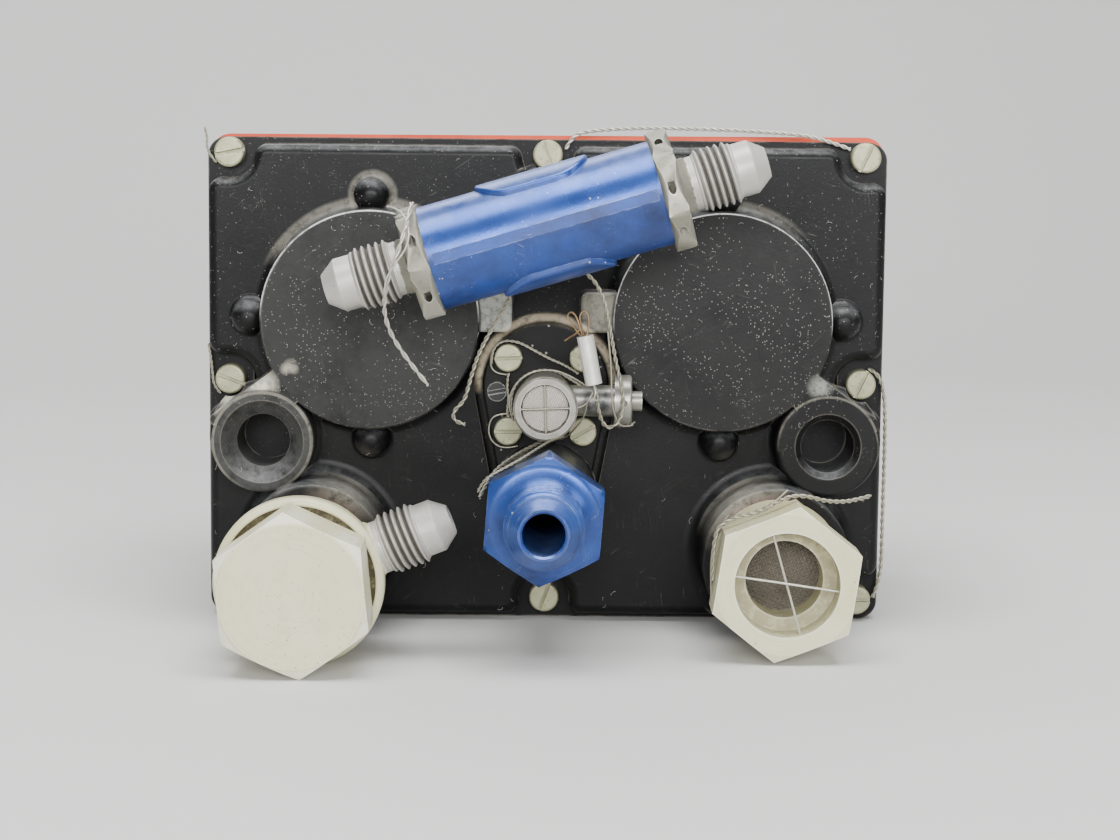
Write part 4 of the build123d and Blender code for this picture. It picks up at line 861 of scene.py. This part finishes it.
def make_weave_tree():
    """Woven wire disc: two sets of wavy wires that pass over and under each other."""
    sizes = {"Radius": 0.0045, "Pitch": 0.0004, "Wire Radius": 0.00009}
    build = Build("woven screen", sizes)
    radius, pitch, wire = build.ask(*sizes)
    join = build.add("GeometryNodeJoinGeometry")
    profile = build.circle(wire, 5)
    count = build.plus(build.times(build.over(radius, pitch), 2.0), 1.0)
    minus_radius = build.times(radius, -1.0)
    for turn, parity in ((0.0, 0.0), (math.pi / 2, 1.0)):
        line = build.shape("CurvePrimitiveLine", Start=build.joined(X=minus_radius), End=build.joined(X=radius))
        line = build.evenly(line, build.over(pitch, 4.0))
        spots = {"Start_Location": build.joined(Y=minus_radius), "Offset": build.joined(Y=pitch)}
        row = build.shape("MeshLine", {"mode": "OFFSET"}, Count=count, **spots)
        lines = build.shape("InstanceOnPoints", Points=row, Instance=line)
        lines = build.shape("RealizeInstances", Geometry=lines)
        place = build.shape("InputPosition")
        x, y = build.split(place)[:2]
        cell = build.plus(build.over(x, pitch), build.math("ROUND", build.over(y, pitch)))
        wave = build.math("SINE", build.times(build.plus(cell, parity), math.pi))
        wavy = build.moved(lines, build.joined(Z=build.times(wave, wire)))
        outside = build.math("GREATER_THAN", build.vector("LENGTH", place), radius)
        disc = build.shape("DeleteGeometry", {"domain": "POINT"}, Geometry=wavy, Selection=outside)
        spun = build.shape("Transform", Geometry=disc, Rotation=(0.0, 0.0, turn))
        build.put(join.inputs[0], build.tube(spun, profile))
    return build.end(join.outputs[0])


def make_lint_tree():
    """Scatters short bent fibres over a surface."""
    sizes = {"Density": 9000.0, "Length": 0.0014, "Fibre Radius": 0.00002, "Seed": 4}
    build = Build("lint", sizes)
    density, length, radius, seed = build.ask(*sizes)
    face = build.ask("Geometry")
    spread = build.add("GeometryNodeDistributePointsOnFaces", Mesh=face, Density=density, Seed=seed)
    half, bend = build.times(length, 0.5), build.times(length, 0.35)
    minus = build.times(half, -1.0)
    arc = build.shape(
        "CurvePrimitiveBezierSegment",
        Resolution=6,
        Start=build.joined(X=minus, Z=radius),
        Start_Handle=build.joined(X=minus, Y=bend, Z=bend),
        End_Handle=build.joined(X=half, Y=bend, Z=bend),
        End=build.joined(X=half, Z=radius),
    )
    fibre = build.tube(arc, build.circle(radius, 4))
    spin = build.add("FunctionNodeRandomValue", {"data_type": "FLOAT"}, Seed=seed)
    build.put(shown(spin.inputs, "Max"), 6.28)
    turn = build.add("FunctionNodeAxisAngleToRotation", Axis=(0.0, 0.0, 1.0), Angle=shown(spin.outputs))
    faced = build.add("FunctionNodeRotateRotation", {"rotation_space": "LOCAL"})
    build.put(faced.inputs[0], spread.outputs["Rotation"])
    build.put(faced.inputs[1], turn.outputs[0])
    size = build.add("FunctionNodeRandomValue", {"data_type": "FLOAT"})
    build.put(shown(size.inputs, "Min"), 0.35)
    build.put(shown(size.inputs, "Max"), 1.3)
    laid = {"Rotation": faced.outputs[0], "Scale": shown(size.outputs)}
    return build.end(build.shape("InstanceOnPoints", Points=spread.outputs["Points"], Instance=fibre, **laid))


THREAD = make_thread_tree()
TWIST = make_twist_tree()
WEAVE = make_weave_tree()
LINT = make_lint_tree()

# ---------------- turned fittings with threads

NECK = 1.4
STUB = 0.4
# thread, land, tip and bore radius, length and threaded length of a flared end
SMALL_END = (5.56, 4.75, 2.7, 2.2, 14.2, 7.2)
LARGE_END = (7.144, 6.3, 4.5, 3.75, 14.1, 9.0)
SMALL_PITCH, LARGE_PITCH = 1.27, 1.41
SMALL_CUT, LARGE_CUT = 5.9, 7.6
FLARE_ANGLE = math.radians(37)
FILTER_CENTRE, FILTER_HALF, FILTER_RISE = (-0.2, 77.5, 41.0), 26.0, math.radians(16.6)
ARM_LEVEL, ARM_REACH, ARM_RISE = 40.0, 14.6, math.radians(22.0)
UNION_PLACE = (0, 25.4, 43.5)


def flare_outline(thread, land, tip, bore, length, thread_length, nose_round=0.35):
    """Outline of a flared tube end from just above its shoulder, bore first."""
    cone = (land - tip) / math.tan(FLARE_ANGLE)
    top = NECK + thread_length
    shank = [(bore, STUB), (land, STUB), (land, NECK)]
    root = thread - 0.75
    screw = [(root, NECK + 0.05), (thread, NECK + 0.7), (thread, top - 0.7), (root, top - 0.05)]
    nose = [(land, top), (land, length - cone), (tip + 0.25, length - nose_round), (tip, length)]
    return shank + screw + nose + [(bore + nose_round, length), (bore, length - nose_round)]


def threaded_end(name, place, sizes, pitch, material, slot):
    land, thread_length = sizes[1], sizes[5]
    blank = lathe_mesh(name, flare_outline(*sizes), 112, fine_beyond=land - 0.2)
    cut = {"Pitch": pitch, "Depth": 0.62 * pitch, "Runout": 0.9, "Land": land + 0.25}
    cut |= {"Start": NECK + 0.1, "End": NECK + thread_length - 0.1}
    mesh = run_tree(name, blank, THREAD, Material=MATERIALS[material], **metres(cut))
    mesh.transform(place)
    shade(mesh, 38)
    new_piece(name, mesh, material, slot)


def trimmed_node(name, node, place, radius, look=None):
    """Copy of a CAD node whose tube end is cut off a little above its shoulder."""
    body = linked(name, reworked(frame["nodes"][node].data.copy(), lambda shape: weld(shape, 1e-6)))
    pin = lathe_mesh(name + "_cutter", [(0.01, STUB), (radius, STUB), (radius, 30), (0.01, 30)], 64, step=50)
    reworked(pin, weld_and_face).transform(place)
    cutter = linked(name + "_cutter", pin)
    cut = body.modifiers.new("cut", "BOOLEAN")
    cut.operation = "DIFFERENCE"
    cut.solver = "EXACT"
    cut.object = cutter
    mesh = applied(body)
    bpy.data.objects.remove(cutter)
    shade(mesh, 30)
    new_piece(name, mesh, look or SLOT_OF[node], SLOT_OF[node], replaces=(node,))


def make_threaded_ends():
    along = Vector((math.cos(FILTER_RISE), 0, math.sin(FILTER_RISE)))
    for side, node in ((-1, "filter_end_left"), (1, "filter_end_right")):
        place = turn_along(at(*FILTER_CENTRE) + along * side * FILTER_HALF * MM, along * side)
        trimmed_node(node + "_hex", node, place, SMALL_CUT, "hex_plating")
        threaded_end(node + "_thread", place, SMALL_END, SMALL_PITCH, "flare_alloy", "flare_alloy")
    arm = Vector((math.cos(ARM_RISE), 0, math.sin(ARM_RISE)))
    place = turn_along(at(*PORT_LEFT, ARM_LEVEL) + arm * ARM_REACH * MM, arm)
    trimmed_node("banjo_ring", "banjo_body", place, SMALL_CUT)
    threaded_end("banjo_thread", place, SMALL_END, SMALL_PITCH, "flare_alloy", "cream_paint")
    place = turn_out(*UNION_PLACE)
    trimmed_node("union_hex", "union_fitting", place, LARGE_CUT)
    threaded_end("union_thread", place, LARGE_END, LARGE_PITCH, "blue_anodised", "blue_anodised")


# ---------------- wires
# Points of each wire: right, up and out of the back cover's flange, in mm.

CAD_WIRES = {
    "top_edge_wire": [
        (3.4, 90.4, 1.6), (4.6, 93.2, 1.2), (9.1, 94.1, 1.0), (18.1, 94.6, 1.1), (30.2, 94.5, 1.2),
        (42.3, 94.0, 1.2), (51.0, 93.3, 1.4), (57.4, 90.9, 2.0),
    ],
    "right_edge_wire": [
        (61.9, 49.1, 1.7), (64.2, 48.2, 2.4), (65.3, 42.0, 1.8), (65.4, 32.0, 1.5), (65.3, 20.0, 1.6),
        (65.3, 8.0, 1.8), (63.7, 4.6, 1.7),
    ],
    "filter_wire": [
        (-23.3, 81.5, 46.6), (-24.0, 77.5, 51.4), (-25.7, 72.4, 52.0), (-27.6, 67.4, 51.0),
        (-28.2, 61.4, 45.6), (-25.6, 55.4, 42.0), (-20.7, 49.2, 40.0),
    ],
    "pigtail_wire": [
        (-3.6, 70.6, 26.6), (-5.8, 65.2, 22.8), (-9.0, 59.4, 20.0), (-12.4, 53.2, 18.4),
        (-14.2, 47.2, 17.4), (-15.0, 43.9, 17.0), (-17.2, 41.9, 17.0), (-17.0, 39.9, 17.0),
        (-14.9, 39.5, 17.0),
    ],
    "union_wire": [
        (0.6, 37.2, 18.0), (-2.6, 36.0, 22.0), (-6.4, 34.6, 28.0), (-9.8, 32.4, 33.6), (-11.6, 28.8, 37.4),
    ],
    "inlet_wire": [
        (30.2, 14.3, 37.5), (30.2, 22.6, 37.5), (32.4, 25.3, 37.5), (38.4, 26.6, 37.5), (43.4, 29.6, 37.0),
        (47.1, 29.5, 36.0), (50.7, 28.2, 34.0), (55.5, 27.7, 31.0), (59.4, 28.4, 28.0),
    ],
    "seal_wire": [
        (3.8, 70.4, 26.4), (7.6, 68.4, 24.6), (10.3, 64.4, 22.8), (11.6, 58.8, 22.0), (12.8, 52.0, 22.4),
        (14.4, 46.2, 23.1), (14.0, 41.4, 23.1), (11.4, 39.2, 22.0), (9.6, 42.6, 23.6), (9.0, 47.9, 26.0),
    ],
}
PAIRS = {
    "plate_lacing_top": [
        (-10.2, 50.4, 11.4), (-10.2, 52.9, 11.5), (-8.3, 54.8, 11.6), (-5.2, 54.6, 12.0),
        (-2.4, 53.2, 13.0), (0.8, 51.6, 14.5), (3.8, 50.6, 16.0), (6.0, 49.3, 18.2),
    ],
    "plate_lacing_side": [
        (-7.0, 48.6, 11.6), (-7.4, 46.4, 11.3), (-6.9, 43.6, 11.3), (-7.3, 41.4, 11.4), (-7.0, 40.3, 11.8),
    ],
    "vent_wrap": [
        (-6.2, 41.6, 20.0), (-6.6, 44.8, 20.4), (-5.2, 48.2, 20.6), (-1.8, 50.2, 20.4), (2.0, 50.0, 20.0),
        (5.0, 48.2, 20.2), (6.6, 47.4, 21.4),
    ],
    "union_lacing": [
        (3.4, 38.2, 24.4), (1.8, 38.6, 30.0), (-0.6, 38.2, 37.0), (-4.0, 36.4, 41.0), (-8.0, 34.4, 42.2),
        (-10.8, 32.8, 42.0), (-11.8, 30.4, 40.6),
    ],
    "top_left_tail": [
        (-62.9, 87.3, 1.5), (-64.1, 88.6, 1.7), (-64.8, 90.4, 1.8), (-64.5, 92.0, 1.9), (-65.1, 93.9, 2.0),
    ],
    "middle_left_tail": [
        (-62.4, 43.2, 1.5), (-63.7, 44.6, 1.6), (-63.9, 47.2, 1.6), (-64.2, 50.0, 1.7), (-64.6, 52.8, 1.9),
    ],
}
STRANDS = {
    "lower_screw_loop": [
        (-7.0, 40.9, 11.3), (-9.7, 40.8, 11.3), (-10.8, 38.4, 11.1), (-10.3, 35.6, 11.1),
        (-7.7, 34.1, 11.2), (-5.2, 34.8, 11.4),
    ],
    "upper_screw_loop": [(-6.9, 48.3, 11.3), (-9.5, 48.3, 11.2), (-10.7, 50.6, 11.2), (-10.0, 53.0, 11.4)],
    "vent_wrap_strand": [
        (-5.8, 40.8, 22.4), (-6.9, 43.4, 22.8), (-6.2, 47.0, 23.0), (-3.4, 49.8, 23.0), (0.6, 50.6, 22.6),
        (4.6, 49.4, 22.4), (7.4, 47.6, 23.6),
    ],
    "cross_wire_tail": [
        (4.4, 43.5, 26.3), (6.0, 43.9, 26.5), (7.3, 44.4, 26.2), (8.0, 45.5, 25.6), (8.7, 46.6, 25.4),
    ],
    "vent_side_strand": [
        (7.6, 44.6, 25.0), (7.3, 42.2, 24.2), (6.0, 40.2, 22.6), (4.2, 37.8, 20.0), (2.8, 37.0, 18.0),
    ],
    "nut_strand": [
        (11.3, 57.6, 22.8), (12.0, 51.6, 23.0), (12.1, 46.0, 23.1), (12.6, 42.2, 23.0), (14.2, 39.6, 22.4),
        (16.2, 40.2, 21.0),
    ],
    "nut_strand_low": [(12.2, 44.6, 23.1), (12.8, 41.0, 22.8), (14.6, 39.4, 20.6), (16.6, 40.4, 18.6)],
    "seal_tuft": [
        (8.6, 48.4, 26.4), (9.3, 46.8, 27.2), (8.7, 45.6, 26.8), (9.8, 45.0, 26.4), (9.4, 46.6, 25.6),
    ],
    "filter_wire_loop": [
        (-27.6, 80.8, 46.5), (-25.4, 80.8, 51.0), (-23.4, 78.0, 52.9), (-23.5, 74.4, 53.3),
        (-26.2, 70.8, 53.2), (-27.9, 67.6, 52.0), (-27.4, 64.4, 49.2),
    ],
    "inlet_wrap": [
        (30.3, 8.6, 36.4), (30.0, 14.0, 36.6), (30.0, 19.0, 36.4), (31.2, 23.6, 36.4), (33.0, 26.0, 36.6),
    ],
    "inlet_tail": [(38.6, 26.7, 38.0), (39.8, 27.6, 38.4), (41.4, 29.0, 38.2), (43.4, 30.8, 37.8)],
}
AMBER = {
    "amber_loop_left": [
        (6.7, 56.4, 26.4), (6.0, 59.6, 26.2), (4.7, 61.6, 25.8), (3.6, 60.6, 25.6), (4.9, 58.8, 25.9),
        (6.6, 56.6, 26.8),
    ],
    "amber_loop_right": [
        (7.2, 56.4, 26.4), (8.1, 59.4, 26.0), (7.2, 61.8, 25.6), (5.9, 60.8, 25.6), (6.5, 58.4, 26.2),
        (7.0, 56.6, 26.9),
    ],
    "amber_knot": [(6.2, 58.2, 26.2), (5.2, 57.2, 26.4), (4.4, 56.8, 25.6), (3.4, 56.0, 25.4)],
}


def nurbs_path(name, points, resolution):
    data = bpy.data.curves.new(name, "CURVE")
    data.dimensions = "3D"
    spline = data.splines.new("NURBS")
    spline.points.add(len(points) - 1)
    for spot, point in zip(spline.points, points):
        spot.co = (*at(*point), 1)
    spline.order_u = 3
    spline.use_endpoint_u = True
    data.resolution_u = resolution
    return data


def twisted_wire(name, points, material="lock_wire", radius=0.14, lay=2.0, replaces=()):
    sizes = metres({"Strand_Radius": radius, "Lay": lay, "Step": 0.3})
    mesh = run_tree(name, nurbs_path(name, points, 24), TWIST, Material=MATERIALS[material], **sizes)
    new_piece(name, mesh, material, "lock_wire", replaces=replaces)


def single_wire(name, points, material, radius=0.16, slot="lock_wire", replaces=()):
    data = nurbs_path(name, points, 10)
    data.bevel_depth = radius * MM
    data.bevel_resolution = 3
    data.use_fill_caps = True
    mesh = applied(linked(name, data))
    mesh.shade_smooth()
    new_piece(name, mesh, material, slot, replaces=replaces)


def make_wires():
    for name, points in CAD_WIRES.items():
        look = "pale_wire" if name in ("filter_wire", "top_edge_wire") else "lock_wire"
        lay = 5.2 if name == "filter_wire" else 3.0
        twisted_wire(name + "_pair", points, look, 0.21, lay, replaces=(name,))
    for name, points in PAIRS.items():
        twisted_wire(name, points)
    for name, points in STRANDS.items():
        single_wire(name, points, "pale_wire" if "filter" in name or "tuft" in name else "lock_wire")
    for name, points in AMBER.items():
        single_wire(name, points, "amber_wire", 0.17)


# ---------------- screens

VENT_PLACE, VENT_TURN = (0, 43.6, 25.2), 20
INLET_LEVEL = 30.25
# how far along a cross wire, and how far it sags there
CROSS_SAG = ((-9.4, 0.0), (-5.0, 0.15), (0.0, 0.25), (5.0, 0.1), (9.4, 0.0))


def woven_disc(name, place, radius, pitch, wire, material):
    blank = bpy.data.meshes.new(name)
    blank.from_pydata([(0, 0, 0)], [], [])
    sizes = metres({"Radius": radius, "Pitch": pitch, "Wire_Radius": wire})
    mesh = run_tree(name, blank, WEAVE, Material=MATERIALS[material], **sizes)
    mesh.transform(turn_out(*place, VENT_TURN))
    new_piece(name, mesh, material, "screen_mesh")


def make_screens():
    woven_disc("vent_weave", VENT_PLACE, 4.4, 0.30, 0.085, "vent_mesh")
    woven_disc("inlet_weave", (*PORT_RIGHT, INLET_LEVEL), 6.9, 0.6, 0.13, "screen_mesh")
    x, z = PORT_RIGHT
    for name, degrees, out in (("inlet_cross_steep", -74, 41.3), ("inlet_cross_flat", -8, 41.7)):
        turn = math.radians(degrees)
        right, up = math.cos(turn), math.sin(turn)
        points = [(x + along * right, z + along * up, out - sag) for along, sag in CROSS_SAG]
        single_wire(name, points, "pale_wire", 0.22, SLOT_OF["inlet_cross_wires"], ("inlet_cross_wires",))


# ---------------- dial and knob marks

DIAL_CENTRE = (0, 53.0)
DIAL_SWEEP, DIAL_TICKS, TICKS_PER_FIGURE = 270, 50, 5
TICK_RIM, FIGURE_RADIUS, FIGURE_SIZE = 23.2, 17.6, 4.2
KNOBS = {"selector": (0, 17.0), "rate": (40.0, 17.0)}
PAINT_LIFT = 0.05


def figure_mesh(words):
    data = bpy.data.curves.new("figure", "FONT")
    data.body = words
    data.size = FIGURE_SIZE * MM
    data.extrude = 0.04 * MM
    data.align_x = data.align_y = "CENTER"
    return applied(linked("figure", data))


def bar_mesh(name, width, height, thickness):
    sides = Matrix.Diagonal((width * MM, height * MM, thickness * MM, 1))
    blank = bpy.data.meshes.new(name)
    return reworked(blank, lambda shape: bmesh.ops.create_cube(shape, size=1.0, matrix=sides))


def up_by(distance):
    return Matrix.Translation((0, distance * MM, 0))


def make_dial_markings():
    """Ticks and figures printed on the turning dial, in thousands from 0 to 10."""
    parts = []
    for index in range(DIAL_TICKS + 1):
        angle = DIAL_SWEEP * (0.5 - index / DIAL_TICKS)
        figure = index % TICKS_PER_FIGURE == 0
        length, width = (2.6, 0.45) if figure else (1.4, 0.28)
        tick = bar_mesh("tick", width, length, 0.08)
        tick.transform(turned(angle) @ up_by(TICK_RIM - length / 2))
        parts.append(tick)
        if figure:
            number = figure_mesh(str(index // TICKS_PER_FIGURE))
            number.transform(turned(angle) @ up_by(FIGURE_RADIUS) @ turned(-angle))
            parts.append(number)

    def gather(shape):
        for part in parts:
            shape.from_mesh(part)
            bpy.data.meshes.remove(part)

    mesh = reworked(bpy.data.meshes.new("dial_markings"), gather)
    mesh.transform(turn_front(*DIAL_CENTRE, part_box("dial_disc")[1][1] / MM + PAINT_LIFT))
    new_piece("dial_markings", mesh, "dial_paint", "dial_face", body="dial")


def make_knob_marks():
    for knob, place in KNOBS.items():
        low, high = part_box(knob + "_knob")
        radius = (high[0] - low[0]) / 2 / MM
        mark = bar_mesh(knob + "_mark", 0.9, radius * 0.62, 0.12)
        mark.transform(turn_front(*place, high[1] / MM + PAINT_LIFT) @ up_by(radius * 0.5))
        new_piece(knob + "_mark", mark, "dial_paint", "knob_black", body=knob)


# ---------------- lint


def make_lint():
    """Fibres caught on the back cover, on the faces that look outwards."""

    def keep_outer(shape):
        low = (FACE_Y - 2) * MM
        hidden = [f for f in shape.faces if f.normal.y > -0.3 or f.calc_center_median().y > low]
        bmesh.ops.delete(shape, geom=hidden, context="FACES")

    cover = reworked(frame["nodes"]["back_cover"].data.copy(), keep_outer)
    fibres = {"Density": 14000.0, "Length": 0.9 * MM, "Seed": 7}
    mesh = run_tree("cover_lint", cover, LINT, Material=MATERIALS["lint"], **fibres)
    new_piece("cover_lint", mesh, "lint", "black_casting")


make_camera()
make_floor()
make_light()
dress_cad_nodes()
make_threaded_ends()
make_wires()
make_screens()
make_dial_markings()
make_knob_marks()
make_lint()
